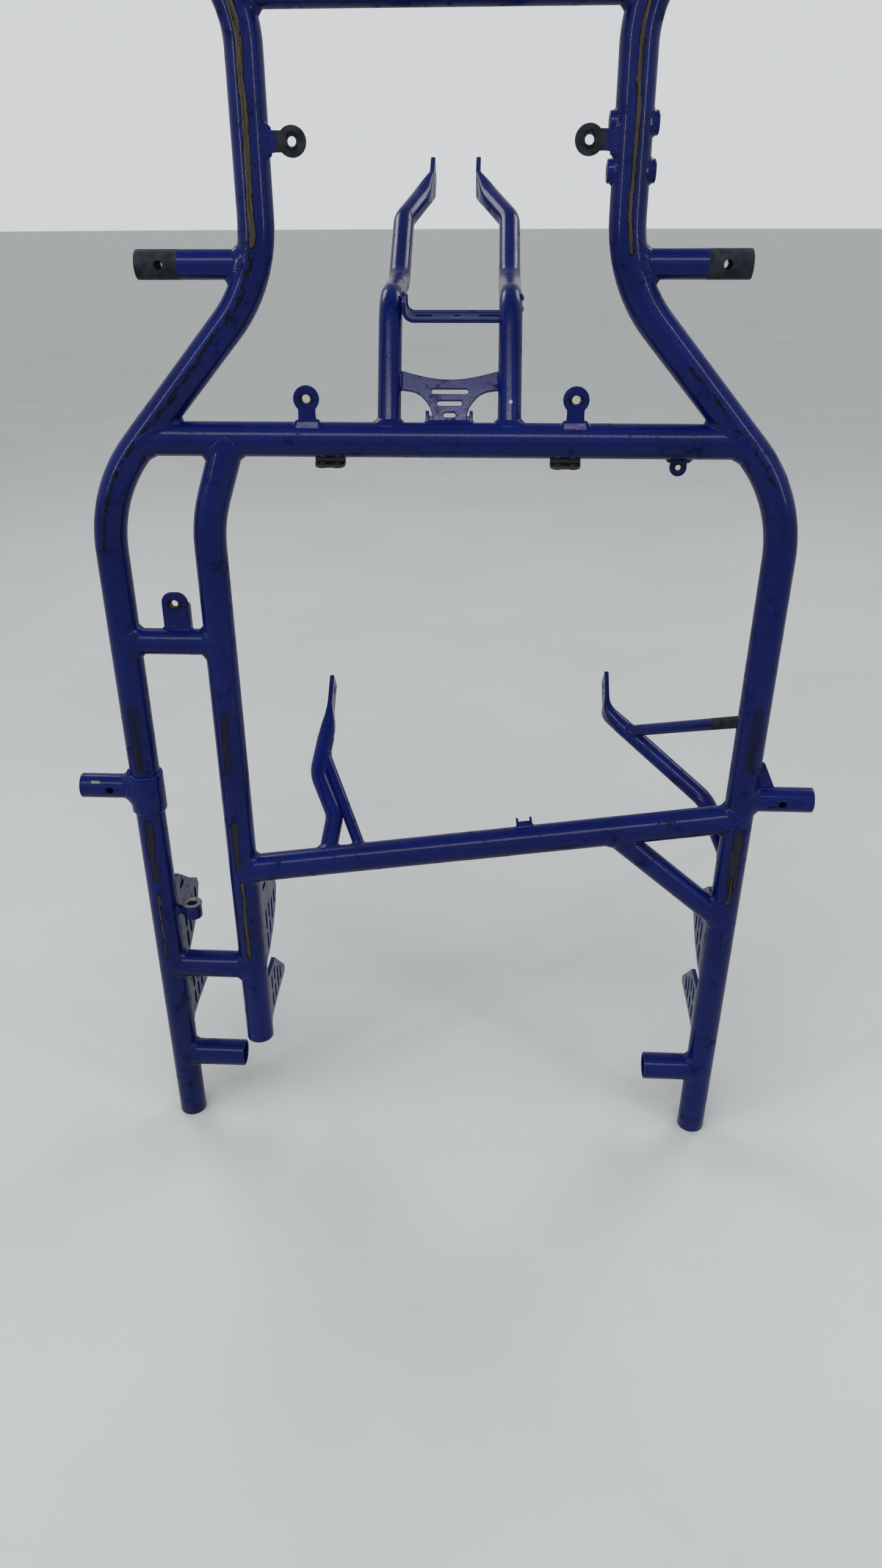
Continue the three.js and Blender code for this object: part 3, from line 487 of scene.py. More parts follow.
class Squash:
    """How a tube's end is pressed flat: full over the blade, then opening over the taper."""

    def __init__(self, blade, taper, thickness=5.0, spread=1.36):
        self.blade, self.taper, self.thickness, self.spread = blade, taper, thickness, spread

    def shape(self, circle, from_tip, radius):
        share = 1 - smoothstep(from_tip, self.blade, self.blade + self.taper)
        most = radius + (self.thickness / 2 - radius) * share
        thin = circle[:, 0]
        if share > 0:
            thin = thin / (1 + (np.abs(thin) / most) ** 8) ** 0.125
            thin = thin * min(1.0, most / max(np.abs(thin).max(), 1e-9))
        return np.stack([thin, circle[:, 1] * (1 + (self.spread - 1) * share)], 1)


def wear_at(points, turn, patches):
    """The wear of each kind at a ring's points: patches along an axis and round the tube."""
    found = {k: np.zeros(len(points)) for k in WEAR_KINDS}
    for kind, axis, lo, hi, soft, facing, half, amount in patches:
        place = points[:, "xyz".index(axis)]
        run = window(place, lo, hi, soft)
        drift = 2.2 * np.sin(place / 17.0) + 1.6 * np.sin(place / 7.3 + 1)
        off = (np.degrees(turn) - facing - drift + 180) % 360 - 180
        round_it = 1 - smoothstep(np.abs(off), half * 0.5, half * 1.5)
        found[kind] = np.maximum(found[kind], run * round_it * amount)
    return found


def make_tube(
    name, path, od, wall, start="open", end="open", toward=(0, -1, 0), sides=SIDES, squash=None, patches=(),
    leg=4.6, material="blue", clear=44, holes=(), hollow=0.36, end_plate=False,
):
    """One tube: each end is open with a rounded lip, closed to a flat blade, or fitted to a skin."""
    rng = dust_of(name)
    build = Builder()
    us, vs = frames_along(path, toward)
    turn = math.pi + np.arange(sides) * 2 * math.pi / sides
    unit_circle = np.stack([np.cos(turn), np.sin(turn)], 1)
    radius, inner_r = od / 2, od / 2 - wall
    reach = math.pi * od
    total = path.length
    first, last = 0, len(path.points) - 1
    # Each end's kind, the station that its fitted rings start from, its own station, and the way out of it.
    ends = {"start": (start, first, first, -path.headings[0]), "end": (end, last, last, path.headings[-1])}
    if start != "open":
        first = int(np.argmin(path.along < clear))
        ends["start"] = (start, first, *ends["start"][2:])
    if end not in ("open", "blade"):
        last -= int(np.argmin((path.along > total - clear)[::-1]))
        ends["end"] = (end, last, *ends["end"][2:])
    fitted = {}

    def ring(i, r):
        circle = unit_circle * r
        if squash:
            circle = squash.shape(circle, path.length - path.along[i], r)
        return path.points[i] + circle[:, :1] * us[i] + circle[:, 1:] * vs[i]

    def put(points, along):
        return build.add(points, along=along, **wear_at(points, turn, patches))

    def fit(which, r):
        kind, near, tip, way = ends[which]
        if isinstance(kind, FlatSkin):
            return shoot(ring(near, r), way, kind)
        return shoot(ring(near, r), way, kind, 0.2, path.points[tip])

    def lip(which, r, back):
        kind, _, tip, way = ends[which]
        rim = fit(which, r) if isinstance(kind, FlatSkin) else ring(tip, r)
        return rim - way * back

    def end_rings(which):
        """Rings from the outer wall round the end to the inner wall."""
        kind, _, tip, way = ends[which]
        s = path.along[tip]
        if kind == "blade":
            blunt = ring(tip, radius)
            centre = blunt.mean(0)
            return [put(blunt - way * 0.8, s), put(centre + (blunt - centre) * 0.96, s)], []
        if kind == "open" or isinstance(kind, FlatSkin):
            lipped = [(radius, 0.9), (radius - 0.25, 0.25), (radius - 0.9, 0.0)]
            rings = [put(lip(which, r, back), s) for r, back in lipped]
            rings.append(build.add(lip(which, inner_r + 0.5, 0.0), along=s, bare=OPEN_RIM_WEAR))
            return rings, [build.add(lip(which, inner_r, 0.6), along=s)]
        fitted[which] = fit(which, radius)
        return [put(fitted[which], s)], [build.add(fit(which, inner_r), along=s)]

    start_outer, start_inner = end_rings("start")
    end_outer, end_inner = end_rings("end")
    body = [i for i in range(first, last + 1) if start != "open" or path.along[i] > LIP_ROOM]
    if end in ("open", "blade"):
        body = [i for i in body if path.along[i] < total - LIP_ROOM]
    body_outer = [put(ring(i, radius), path.along[i]) for i in body]
    build.chain(start_outer[::-1] + body_outer + end_outer, reach)
    if end == "blade":
        build.cap(end_outer[-1])
        bore_end = total - squash.blade - squash.taper * 0.9
        body = [i for i in body if path.along[i] < bore_end]
    inner = start_inner + [build.add(ring(i, inner_r), along=path.along[i]) for i in body] + end_inner
    if end == "blade":
        build.bridge(start_outer[-1], start_inner[0], reach)
        build.chain(inner, reach)
        build.cap(inner[-1])
    else:
        build.chain(inner, reach)
        build.bridge(start_outer[-1], start_inner[0], reach)
        build.bridge(end_outer[-1], end_inner[0], reach)
    obj = finish_object(name, build.mesh(name), material)
    if holes:
        cut(obj, holes)
    beads = Builder()
    for which, line in fitted.items():
        kind, _, _, way = ends[which]
        weld(beads, line, -way, kind, leg, rng, hollow)
    if end_plate:
        weld(beads, fit("end", radius), -path.headings[-1], end, leg, rng)
    if beads.count:
        join(obj, beads.mesh(name + "_weld"))


def join(obj, mesh):
    """Adds a mesh to a piece as more of the same piece."""
    mesh.shade_smooth()
    work = bmesh.new()
    work.from_mesh(obj.data)
    work.from_mesh(mesh)
    work.to_mesh(obj.data)
    work.free()
    bpy.data.meshes.remove(mesh)


def drill(middle, way, radius=4.0):
    """A cutter for a hole through a middle point, reaching as far each way as the vector given."""
    return rod(radius, np.subtract(middle, way), np.add(middle, way))


# ---- materials --------------------------------------------------------------------------------


class Nodes:
    """A short way to write a node tree."""

    def __init__(self, name):
        self.material = bpy.data.materials.new(name)
        self.material.use_nodes = True
        self.tree = self.material.node_tree
        self.shader = next(n for n in self.tree.nodes if n.type == "BSDF_PRINCIPLED")
        self.place = self.tree.nodes.new("ShaderNodeTexCoord").outputs["Object"]

    def feed(self, socket, value):
        if isinstance(value, bpy.types.NodeSocket):
            self.tree.links.new(value, socket)
        else:
            socket.default_value = value

    def set(self, name, value):
        """Feeds one of the shader's own sockets."""
        self.feed(self.shader.inputs[name], value)

    def make(self, kind, output, inputs, **settings):
        """Adds a node, feeds its inputs by name or number, and gives one of its outputs."""
        made = self.tree.nodes.new(kind)
        for key, value in settings.items():
            setattr(made, key, value)
        for socket, value in inputs.items():
            self.feed(made.inputs[socket], value)
        return made.outputs[output]

    def math(self, operation, a, b=0.0):
        return self.make("ShaderNodeMath", 0, {0: a, 1: b}, operation=operation)

    def times(self, a, b):
        return self.math("MULTIPLY", a, b)

    def plus(self, a, b):
        return self.math("ADD", a, b)

    def minus(self, a, b):
        return self.math("SUBTRACT", a, b)

    def most(self, a, b):
        return self.math("MAXIMUM", a, b)

    def swing(self, noise, amount):
        """A noise about one half, as a push up or down."""
        return self.times(self.minus(noise, 0.5), amount)

    def ramp(self, value, lo, hi, out_lo=0.0, out_hi=1.0):
        inputs = dict(enumerate((value, lo, hi, out_lo, out_hi)))
        return self.make("ShaderNodeMapRange", 0, inputs, interpolation_type="SMOOTHSTEP")

    def mix(self, factor, a, b):
        """Mixes two colours."""
        return self.make("ShaderNodeMix", 2, {"Factor": factor, 6: a, 7: b}, data_type="RGBA")

    def blend(self, factor, a, b):
        """Mixes two numbers."""
        return self.make("ShaderNodeMix", 0, {"Factor": factor, 2: a, 3: b}, data_type="FLOAT")

    def noise(self, vector, scale, detail=3.0, roughness=0.5):
        inputs = {"Vector": vector, "Scale": scale, "Detail": detail, "Roughness": roughness}
        return self.make("ShaderNodeTexNoise", "Fac", inputs)

    def attribute(self, name):
        return self.make("ShaderNodeAttribute", "Fac", {}, attribute_name=name)

    def stretch(self, vector, scale):
        return self.make("ShaderNodeMapping", 0, {"Vector": vector, "Scale": scale})

    def bumped(self, height, strength=1.0):
        return self.make("ShaderNodeBump", 0, {"Strength": strength, "Distance": 1.0, "Height": height})


BLUE = ((0.0008, 0.0050, 0.074, 1), (0.0016, 0.0082, 0.110, 1))
CHARCOAL = ((0.008, 0.010, 0.014, 1), (0.022, 0.025, 0.032, 1))
BLACK = ((0.006, 0.006, 0.007, 1), (0.018, 0.018, 0.020, 1))
BLACK_CHIP = (0.07, 0.065, 0.06, 1)
DUST = (0.018, 0.030, 0.070, 1)
GRAIN = (0.0004, 0.0020, 0.022, 1)
GRIME = (0.0045, 0.0065, 0.010, 1)
HAIR_SCRATCH = (0.055, 0.065, 0.120, 1)
SCUFF = (0.0075, 0.0085, 0.014, 1)
SCUFF_CORE = (0.030, 0.026, 0.020, 1)
TORN_EDGE = (0.0045, 0.0045, 0.006, 1)
STEEL = ((0.014, 0.011, 0.009, 1), (0.095, 0.080, 0.066, 1))
RAW_STEEL = (0.17, 0.16, 0.14, 1)
CHIP = (0.010, 0.011, 0.016, 1)


def coat(name, dip=None):
    """Glossy powder coat with orange peel, chips, dust, matt scuffs and scrapes down to bare steel.

    A dip is the distance in metres from the frame's middle past which old dark paint covers the blue, or,
    where it is negative, short of which."""
    n = Nodes(name)
    place = n.place
    tube = n.make("ShaderNodeUVMap", 0, {}, uv_map="tube")
    cloud = n.noise(place, 9, 4, 0.6)
    colour = n.mix(n.ramp(cloud, 0.35, 0.65), *BLUE)

    speck = n.noise(place, 520, 2, 0.6)
    patch = n.noise(place, 26, 3, 0.6)
    chips = n.times(n.ramp(speck, 0.665, 0.70), n.ramp(patch, 0.46, 0.58))
    dust = n.times(n.noise(place, 60, 5, 0.7), 0.10)
    colour = n.mix(dust, colour, DUST)
    grain = n.ramp(n.noise(place, 900, 3, 0.7), 0.36, 0.64)
    colour = n.mix(n.times(grain, 0.72), colour, GRAIN)
    grime = n.times(n.ramp(n.noise(place, 75, 6, 0.72), 0.52, 0.62), n.ramp(patch, 0.44, 0.60))
    colour = n.mix(n.times(grime, 0.45), colour, GRIME)
    hair = n.noise(n.stretch(tube, (14, 2600, 1)), 1.0, 2, 0.5)
    scratch = n.times(n.ramp(hair, 0.665, 0.70), n.ramp(n.noise(place, 33, 3, 0.6), 0.48, 0.6))
    colour = n.mix(n.times(scratch, 0.45), colour, HAIR_SCRATCH)

    dipped = None
    if dip:
        across = n.make("ShaderNodeSeparateXYZ", 0, {0: place})
        edge_noise = n.swing(n.noise(place, 140, 3, 0.6), 0.002)
        reach = n.plus(n.math("ABSOLUTE", across), edge_noise)
        side = 0.0006 if dip > 0 else -0.0006
        dipped = n.ramp(reach, abs(dip) - side, abs(dip) + side)
        dark_tone = n.mix(n.ramp(n.noise(place, 70, 4, 0.6), 0.35, 0.65), *CHARCOAL)
        colour = n.mix(dipped, colour, dark_tone)

    streaks = n.noise(n.stretch(tube, (28, 900, 1)), 1.0, 5, 0.62)
    broad = n.noise(n.stretch(tube, (90, 420, 1)), 1.0, 4, 0.6)
    scrape = n.attribute("scrape")
    scuff = n.attribute("scuff")
    bare = n.attribute("bare")
    ragged = n.plus(n.times(broad, 0.6), n.times(streaks, 0.4))
    torn = n.plus(scrape, n.swing(ragged, 1.7))
    core = n.ramp(torn, 0.62, 0.70)
    edge = n.times(n.ramp(torn, 0.36, 0.42), n.ramp(scrape, 0.02, 0.12))
    jag = n.noise(n.stretch(tube, (110, 260, 1)), 1.0, 4, 0.65)
    line = n.plus(n.attribute("line"), n.swing(jag, 2.3))
    edge = n.most(edge, n.ramp(line, 0.93, 0.98))
    rubbed = n.plus(scuff, n.swing(streaks, 1.5))
    matt = n.ramp(rubbed, 0.35, 0.75)
    matt_core = n.ramp(rubbed, 0.82, 0.98)
    raw = n.ramp(n.plus(bare, n.swing(speck, 0.6)), 0.45, 0.6)

    steel = n.mix(n.ramp(streaks, 0.25, 0.75), *STEEL)
    colour = n.mix(n.times(matt, 0.80), colour, SCUFF)
    colour = n.mix(n.times(matt_core, 0.5), colour, SCUFF_CORE)
    colour = n.mix(edge, colour, TORN_EDGE)
    colour = n.mix(core, colour, steel)
    colour = n.mix(raw, colour, RAW_STEEL)
    colour = n.mix(chips, colour, CHIP)
    n.set("Base Color", colour)

    metal = n.most(n.times(core, 0.6), n.times(raw, 0.7))
    n.set("Metallic", metal)
    gloss = n.ramp(n.noise(place, 34, 4, 0.6), 0.3, 0.7, 0.20, 0.32)
    gloss = n.plus(gloss, n.times(grime, 0.25))
    if dipped:
        gloss = n.blend(dipped, gloss, 0.5)
    rough = n.blend(matt, gloss, 0.62)
    rough = n.blend(n.most(edge, chips), rough, 0.55)
    rough = n.blend(n.most(core, raw), rough, n.ramp(streaks, 0.3, 0.7, 0.34, 0.52))
    n.set("Roughness", rough)
    worn = n.most(n.most(matt, edge), n.most(raw, grime))
    if dipped:
        worn = n.most(worn, dipped)
    n.set("Coat Weight", n.blend(worn, 0.28, 0.0))
    n.set("Coat Roughness", 0.06)
    n.set("Specular IOR Level", 0.05)

    peel = n.noise(place, 420, 2, 0.45)
    wave = n.noise(place, 110, 2, 0.5)
    height = n.plus(n.times(peel, 0.00013), n.times(wave, 0.00020))
    height = n.plus(height, n.times(grain, 0.000026))
    height = n.minus(height, n.times(scratch, 0.00003))
    height = n.minus(height, n.times(edge, 0.00012))
    height = n.plus(height, n.times(n.times(core, streaks), 0.00012))
    n.set("Normal", n.bumped(height))
    n.set("Coat Normal", n.bumped(height, 0.22))
    materials[name] = n.material


def black_paint():
    n = Nodes("black")
    place = n.place
    colour = n.mix(n.ramp(n.noise(place, 70, 4, 0.6), 0.4, 0.7), *BLACK)
    chips = n.ramp(n.noise(place, 420, 3, 0.6), 0.68, 0.72)
    colour = n.mix(chips, colour, BLACK_CHIP)
    n.set("Base Color", colour)
    n.set("Roughness", n.ramp(n.noise(place, 45, 3, 0.6), 0.3, 0.7, 0.28, 0.48))
    n.set("Normal", n.bumped(n.times(n.noise(place, 600, 2, 0.5), 0.00006)))
    materials["black"] = n.material


coat("blue")
coat("dipped_stub", 0.232)
coat("dipped_tab", -0.138)
coat("dipped_strut", 0.290)
black_paint()

# ---- the ladder -------------------------------------------------------------------------------


def rail_path(side, tail_x, spacing):
    corners = [
        (tail_x, 0, 0),
        (side * BAY_HALF, 0, BAY_TOP_Z),
        (side * WAIST_HALF, 0, WAIST_Z),
        (side * WAIST_HALF, 0, ARM_BEND_Z),
        (side * ARM_END_X, 0, ARM_END_Z),
    ]
    return Path(corners, RAIL_BENDS, turn=3, spacing=spacing)


def rail_x(tail_x, z):
    return tail_x + (math.copysign(BAY_HALF, tail_x) - tail_x) * z / BAY_TOP_Z


def engine_x(z):
    share = (z - ENGINE_TAIL_Z) / (ENGINE_BEND_Z - ENGINE_TAIL_Z)
    return ENGINE_TAIL_X + (ENGINE_BEND_X - ENGINE_TAIL_X) * share


def rear_cross_z(x):
    return REAR_CROSS_Z + REAR_CROSS_SLOPE * x


# Each tube that others meet has a path of even steps to be made from and a plain one for its skin.
STEP = 3.5
TAIL_X = {"right": RIGHT_TAIL_X, "left": LEFT_TAIL_X}
RAILS = {side: rail_path(sign, TAIL_X[side], STEP) for side, sign in SIDE_SIGNS}
RAIL_SKIN = {side: TubeSkin(rail_path(sign, TAIL_X[side], None), MAIN_OD) for side, sign in SIDE_SIGNS}
ENGINE_CORNERS = [
    (ENGINE_TAIL_X, 0, ENGINE_TAIL_Z),
    (ENGINE_BEND_X, 0, ENGINE_BEND_Z),
    (ENGINE_TOP_X, 0, CENTRE_CROSS_Z),
]
ENGINE = Path(ENGINE_CORNERS, (ENGINE_BEND,), spacing=STEP)
ENGINE_SKIN = TubeSkin(Path(ENGINE_CORNERS, (ENGINE_BEND,)), MAIN_OD)
CROSS = Path([(-CENTRE_CROSS_END, 0, CENTRE_CROSS_Z), (CENTRE_CROSS_END, 0, CENTRE_CROSS_Z)], spacing=STEP)
CROSS_SKIN = TubeSkin(CROSS, MAIN_OD)
REAR_RIGHT_Z = rear_cross_z(ENGINE_TAIL_X)
REAR_LEFT_X = rail_x(LEFT_TAIL_X, rear_cross_z(LEFT_TAIL_X))
REAR_CROSS_CORNERS = [(engine_x(REAR_RIGHT_Z), 0, REAR_RIGHT_Z), (REAR_LEFT_X, 0, rear_cross_z(REAR_LEFT_X))]
REAR_CROSS = Path(REAR_CROSS_CORNERS, spacing=STEP)
REAR_CROSS_SKIN = TubeSkin(REAR_CROSS, MAIN_OD)

# Wear, all of it where the frame's underside has met the ground.
# Kind, axis, from, to, soft edge, facing angle round the tube from the underside, half width, amount.
RIGHT_RAIL_WEAR = [
    ("scrape", "z", 1008, 1228, 8, -2, 12, 0.84),
    ("line", "z", 858, 1000, 8, -2, 13, 1.0),
    ("line", "z", 735, 850, 12, -6, 12, 1.0),
    ("scuff", "z", 497, 566, 12, 2, 22, 0.80),
    ("scuff", "z", 357, 428, 12, 2, 20, 0.95),
    ("scrape", "z", 250, 334, 6, -1, 6, 0.80),
]
LEFT_RAIL_WEAR = [
    ("scrape", "z", 1003, 1228, 8, 3, 8, 0.84),
    ("line", "z", 803, 856, 6, 4, 9, 1.0),
    ("line", "z", 870, 909, 4, 0, 10, 1.0),
    ("scuff", "z", 510, 576, 12, 0, 22, 0.72),
    ("scuff", "z", 363, 430, 12, 2, 24, 1.0),
    ("scrape", "z", 341, 376, 4, -2, 6, 0.80),
    ("line", "z", 240, 306, 4, -3, 8, 0.9),
]
RAIL_WEAR = {"right": RIGHT_RAIL_WEAR, "left": LEFT_RAIL_WEAR}
ENGINE_WEAR = [
    ("scuff", "z", 497, 562, 10, -4, 18, 0.85),
    ("scuff", "z", 367, 430, 8, -6, 17, 1.0),
    ("scrape", "z", 252, 353, 5, 2, 9, 0.84),
]
REAR_CROSS_WEAR = [
    ("scuff", "x", 30, 75, 8, 58, 16, 0.85),
    ("scuff", "x", 120, 150, 8, 20, 10, 0.6),
]

floor_plane = FlatSkin((0, 0, 0), (0, 0, 1))
for side, sign in SIDE_SIGNS:
    arm_plane = FlatSkin((sign * ARM_END_X, 0, 0), (-sign, 0, 0))
    holes = []
    if side == "left":
        holes = [drill((WAIST_HALF, 0, z), (40, 0, 0), BOSS_HOLE_R) for z in BOSS_PLACES.values()]
    make_tube(
        f"{side}_main_rail", RAILS[side], MAIN_OD, MAIN_WALL, floor_plane, arm_plane, sides=MAIN_SIDES,
        clear=20, patches=RAIL_WEAR[side], holes=holes, end_plate=True,
    )

for name, path, start, end, worn in (
    ("engine_rail", ENGINE, "open", CROSS_SKIN, ENGINE_WEAR),
    ("centre_cross_tube", CROSS, RAIL_SKIN["right"], RAIL_SKIN["left"], ()),
    ("rear_cross_tube", REAR_CROSS, ENGINE_SKIN, RAIL_SKIN["left"], REAR_CROSS_WEAR),
):
    make_tube(name, path, MAIN_OD, MAIN_WALL, start, end, sides=MAIN_SIDES, patches=worn)


def bay_tube(name, z, od):
    path = Path([(rail_x(RIGHT_TAIL_X, z), 0, z), (engine_x(z), 0, z)], spacing=4)
    make_tube(name, path, od, MAIN_WALL, RAIL_SKIN["right"], ENGINE_SKIN, clear=36)


bay_tube("engine_bay_tube_front", BAY_TUBE_FRONT_Z, MEDIUM_OD)
bay_tube("engine_bay_tube_rear", BAY_TUBE_REAR_Z, MAIN_OD)
BRACE_TOP = (BRACE_TOP_X, 0, rear_cross_z(BRACE_TOP_X))
BRACE_END = (rail_x(LEFT_TAIL_X, BRACE_END_Z), 0, BRACE_END_Z)
make_tube("diagonal_brace", Path([BRACE_TOP, BRACE_END], spacing=5), MEDIUM_OD, MAIN_WALL,
          REAR_CROSS_SKIN, RAIL_SKIN["left"], clear=50)

FRONT_CROSS_CORNERS = [(-FRONT_CROSS_END, 0, FRONT_CROSS_Z), (FRONT_CROSS_END, 0, FRONT_CROSS_Z)]
FRONT_CROSS_SKIN = TubeSkin(Path(FRONT_CROSS_CORNERS), HOOP_OD)
make_tube("front_cross_tube", Path(FRONT_CROSS_CORNERS, spacing=6), HOOP_OD, MAIN_WALL, RAIL_SKIN["right"],
          RAIL_SKIN["left"])
HOOP_CORNERS = [(-HOOP_HALF, 0, HOOP_ROOT_Z), (-HOOP_HALF, 0, HOOP_TOP_Z), (HOOP_HALF, 0, HOOP_TOP_Z),
                (HOOP_HALF, 0, HOOP_ROOT_Z)]
HOOP_BENDS = (HOOP_BEND, HOOP_BEND)
HOOP_SKIN = TubeSkin(Path(HOOP_CORNERS, HOOP_BENDS), HOOP_OD)
make_tube("front_hoop", Path(HOOP_CORNERS, HOOP_BENDS, spacing=6), HOOP_OD, MAIN_WALL, RAIL_SKIN["right"],
          RAIL_SKIN["left"], clear=40)

for side, sign in SIDE_SIGNS:
    tail = TAIL_X[side]
    skin = RAIL_SKIN[side]
    z = POD_FRONT_Z
    stub = Path([(sign * WAIST_HALF, 0, z), (sign * POD_FRONT_END, 0, z)], spacing=5)
    hole = drill((sign * POD_FRONT_HOLE_X, 0, z), (0, 30, 0))
    make_tube(f"side_pod_stub_front_{side}", stub, POD_FRONT_OD, MAIN_WALL, skin, "open", clear=36,
              holes=[hole], sides=STUB_SIDES, material="dipped_stub")
    z = POD_REAR_Z
    stub = Path([(rail_x(tail, z), 0, z), (sign * POD_REAR_END, 0, z)], spacing=2.5)
    hole_x = sign * POD_REAR_HOLE_X
    hole = drill((hole_x, 0, z), (0, 30, 0))
    worn = [("scrape", "x", hole_x - 5, hole_x + 5, 2.5, 0, 20, 0.64)]
    root = {"start": skin}
    if side == "right":
        worn.append(("bare", "x", -385, -377, 2, 42, 7, 1.0))
        sleeve_corners = [(rail_x(tail, sleeve_z), 0, sleeve_z) for sleeve_z in (430, 500)]
        root = {"start": TubeSkin(Path(sleeve_corners), SLEEVE_OD), "leg": 7, "hollow": 0.26}
    make_tube(f"side_pod_stub_rear_{side}", stub, MEDIUM_OD, MAIN_WALL, end="open", clear=36, holes=[hole],
              sides=STUB_SIDES, patches=worn, **root)
    z = BUMPER_REAR_Z
    stub = Path([(rail_x(tail, z), 0, z), (sign * BUMPER_REAR_END, 0, z)], spacing=5)
    make_tube(f"rear_bumper_stub_{side}", stub, MAIN_OD, MAIN_WALL, skin, "open", clear=34)
    stub = Path([(sign * BUMPER_FRONT_X, 0, HOOP_TOP_Z), (sign * BUMPER_FRONT_X, 0, NOSE_Z)], spacing=6)
    make_tube(f"front_bumper_stub_{side}", stub, POD_FRONT_OD, MAIN_WALL, HOOP_SKIN, "open", clear=30)

# ---- uprights, stays and struts ---------------------------------------------------------------



def bladed_tube(name, corners, radii, od, skin, squash, bolt_back, spacing, drains=(), **tube):
    """A bent tube whose far end is pressed to a blade, with a bolt hole across it."""
    path = Path(corners, radii, turn=5, spacing=spacing)
    heading = unit(np.subtract(corners[-1], corners[-2]))
    bolt = np.array(corners[-1], float) - heading * bolt_back
    make_tube(name, path, od, THIN_WALL, skin, "blade", toward=(1, 0, 0), squash=squash,
              holes=[drill(bolt, (20, 0, 0), BOLT_R), *drains], **tube)


# The two uprights are the same seen from the side.
UPRIGHT_X = {"right": (-49, -50, -51, -52, -26, -26), "left": (64, 63, 62, 61, 25, 25)}
UPRIGHT_SIDE_VIEW = ((0, CENTRE_CROSS_Z), (60, 961), (168, 968), (256, 1025), (342, 1060), (366.6, 1075.4))
UPRIGHTS = {side: [(x, y, z) for x, (y, z) in zip(xs, UPRIGHT_SIDE_VIEW)] for side, xs in UPRIGHT_X.items()}
UPRIGHT_BENDS = (40, 60, 45, 24)
UPRIGHT_BLADE = Squash(30, 42)
UPRIGHT_BOLT_BACK = 12
DRAIN_AT = np.array([64.7, 16.5, 874.4])
DRAIN_WAY = np.array([0.01, 0.99, -0.145])
DRAINS = {"right": [], "left": [rod(1.8, DRAIN_AT - 40 * DRAIN_WAY, DRAIN_AT + 40 * DRAIN_WAY, 20)]}
for side, corners in UPRIGHTS.items():
    bladed_tube(f"steering_upright_{side}", corners, UPRIGHT_BENDS, UPRIGHT_OD, CROSS_SKIN, UPRIGHT_BLADE,
                UPRIGHT_BOLT_BACK, 5, DRAINS[side], leg=4.4, clear=34)

RIGHT_STAY = [(-132, 0, rear_cross_z(-132)), (-126, 42, 413), (-150, 84, 446), (-142, 142, 490),
              (-142, 184, 523)]
LEFT_STAY = [(rail_x(LEFT_TAIL_X, 385), 0, 385), (300, 66, 430), (189, 156, 500), (189, 193, 530)]
STAY_BOLT_BACK = 13.6
for side, corners, radii, skin, blade in (
    ("right", RIGHT_STAY, (30, 40, 40), REAR_CROSS_SKIN, Squash(34, 44)),
    ("left", LEFT_STAY, (45, 22), Joined(RAIL_SKIN["left"], REAR_CROSS_SKIN), Squash(30, 40)),
):
    bladed_tube(f"seat_stay_{side}", corners, radii, STAY_OD, skin, blade, STAY_BOLT_BACK, 4, leg=4.2,
                clear=26)
right_stay_skin = TubeSkin(Path(RIGHT_STAY[:4], (30, 40)), STAY_OD)
left_stay_skin = TubeSkin(Path(LEFT_STAY[:3], (45,)), STAY_OD)
RIGHT_STRUT = [(-89, 0, rear_cross_z(-89)), (-146, 108, 464)]
LEFT_STRUT = [(rail_x(LEFT_TAIL_X, 560), 0, 560), (214, 136, 484)]
for side, corners, skin, stay_skin, material in (
    ("right", RIGHT_STRUT, REAR_CROSS_SKIN, right_stay_skin, "blue"),
    ("left", LEFT_STRUT, RAIL_SKIN["left"], left_stay_skin, "dipped_strut"),
):
    make_tube(f"seat_strut_{side}", Path(corners, spacing=5), STRUT_OD, THIN_WALL, skin, stay_skin, leg=3.0,
              sides=40, clear=34, material=material)

# ---- plates and turned pieces -----------------------------------------------------------------


def arc(x, y, r, start, end, step=9):
    count = max(2, math.ceil(abs(end - start) / step))
    angles = np.radians(np.linspace(start, end, count + 1))
    return [(x + r * math.cos(a), y + r * math.sin(a)) for a in angles]


def circle(x, y, r):
    return arc(x, y, r, 0, 351, 9)


def slot(x0, y0, x1, y1, r):
    heading = math.degrees(math.atan2(y1 - y0, x1 - x0))
    return arc(x1, y1, r, heading - 90, heading + 90, 15) + arc(x0, y0, r, heading + 90, heading + 270, 15)


def rounded(points, radius, step=12):
    """A closed outline with its corners rounded."""
    points = np.array(points, float)
    radii = np.broadcast_to(radius, len(points))
    out = []
    for i, (p, r) in enumerate(zip(points, radii)):
        before, after = points[i - 1] - p, points[(i + 1) % len(points)] - p
        u, v = unit(before), unit(after)
        half = math.acos(np.clip(u @ v, -1, 1)) / 2
        reach = min(r / math.tan(half), 0.48 * np.linalg.norm(before), 0.48 * np.linalg.norm(after))
        r = reach * math.tan(half)
        if r < 0.05 or half > 1.5:
            out.append(tuple(p))
            continue
        centre = p + unit(u + v) * r / math.sin(half)
        a, b = p + u * reach - centre, p + v * reach - centre
        start, end = math.degrees(math.atan2(a[1], a[0])), math.degrees(math.atan2(b[1], b[0]))
        turn = (end - start + 180) % 360 - 180
        out += arc(*centre, r, start, start + turn, step)
    return out


def area(loop):
    x, y = loop[:, 0], loop[:, 1]
    return (x * np.roll(y, -1) - y * np.roll(x, -1)).sum() / 2


def inset(loop, amount):
    """A closed line moved towards its left side."""
    ahead = unit(np.roll(loop, -1, axis=0) - loop)
    left = np.stack([-ahead[:, 1], ahead[:, 0]], 1)
    middle = unit(left + np.roll(left, 1, axis=0))
    return loop + middle * (amount / np.maximum((middle * left).sum(1), 0.4))[:, None]


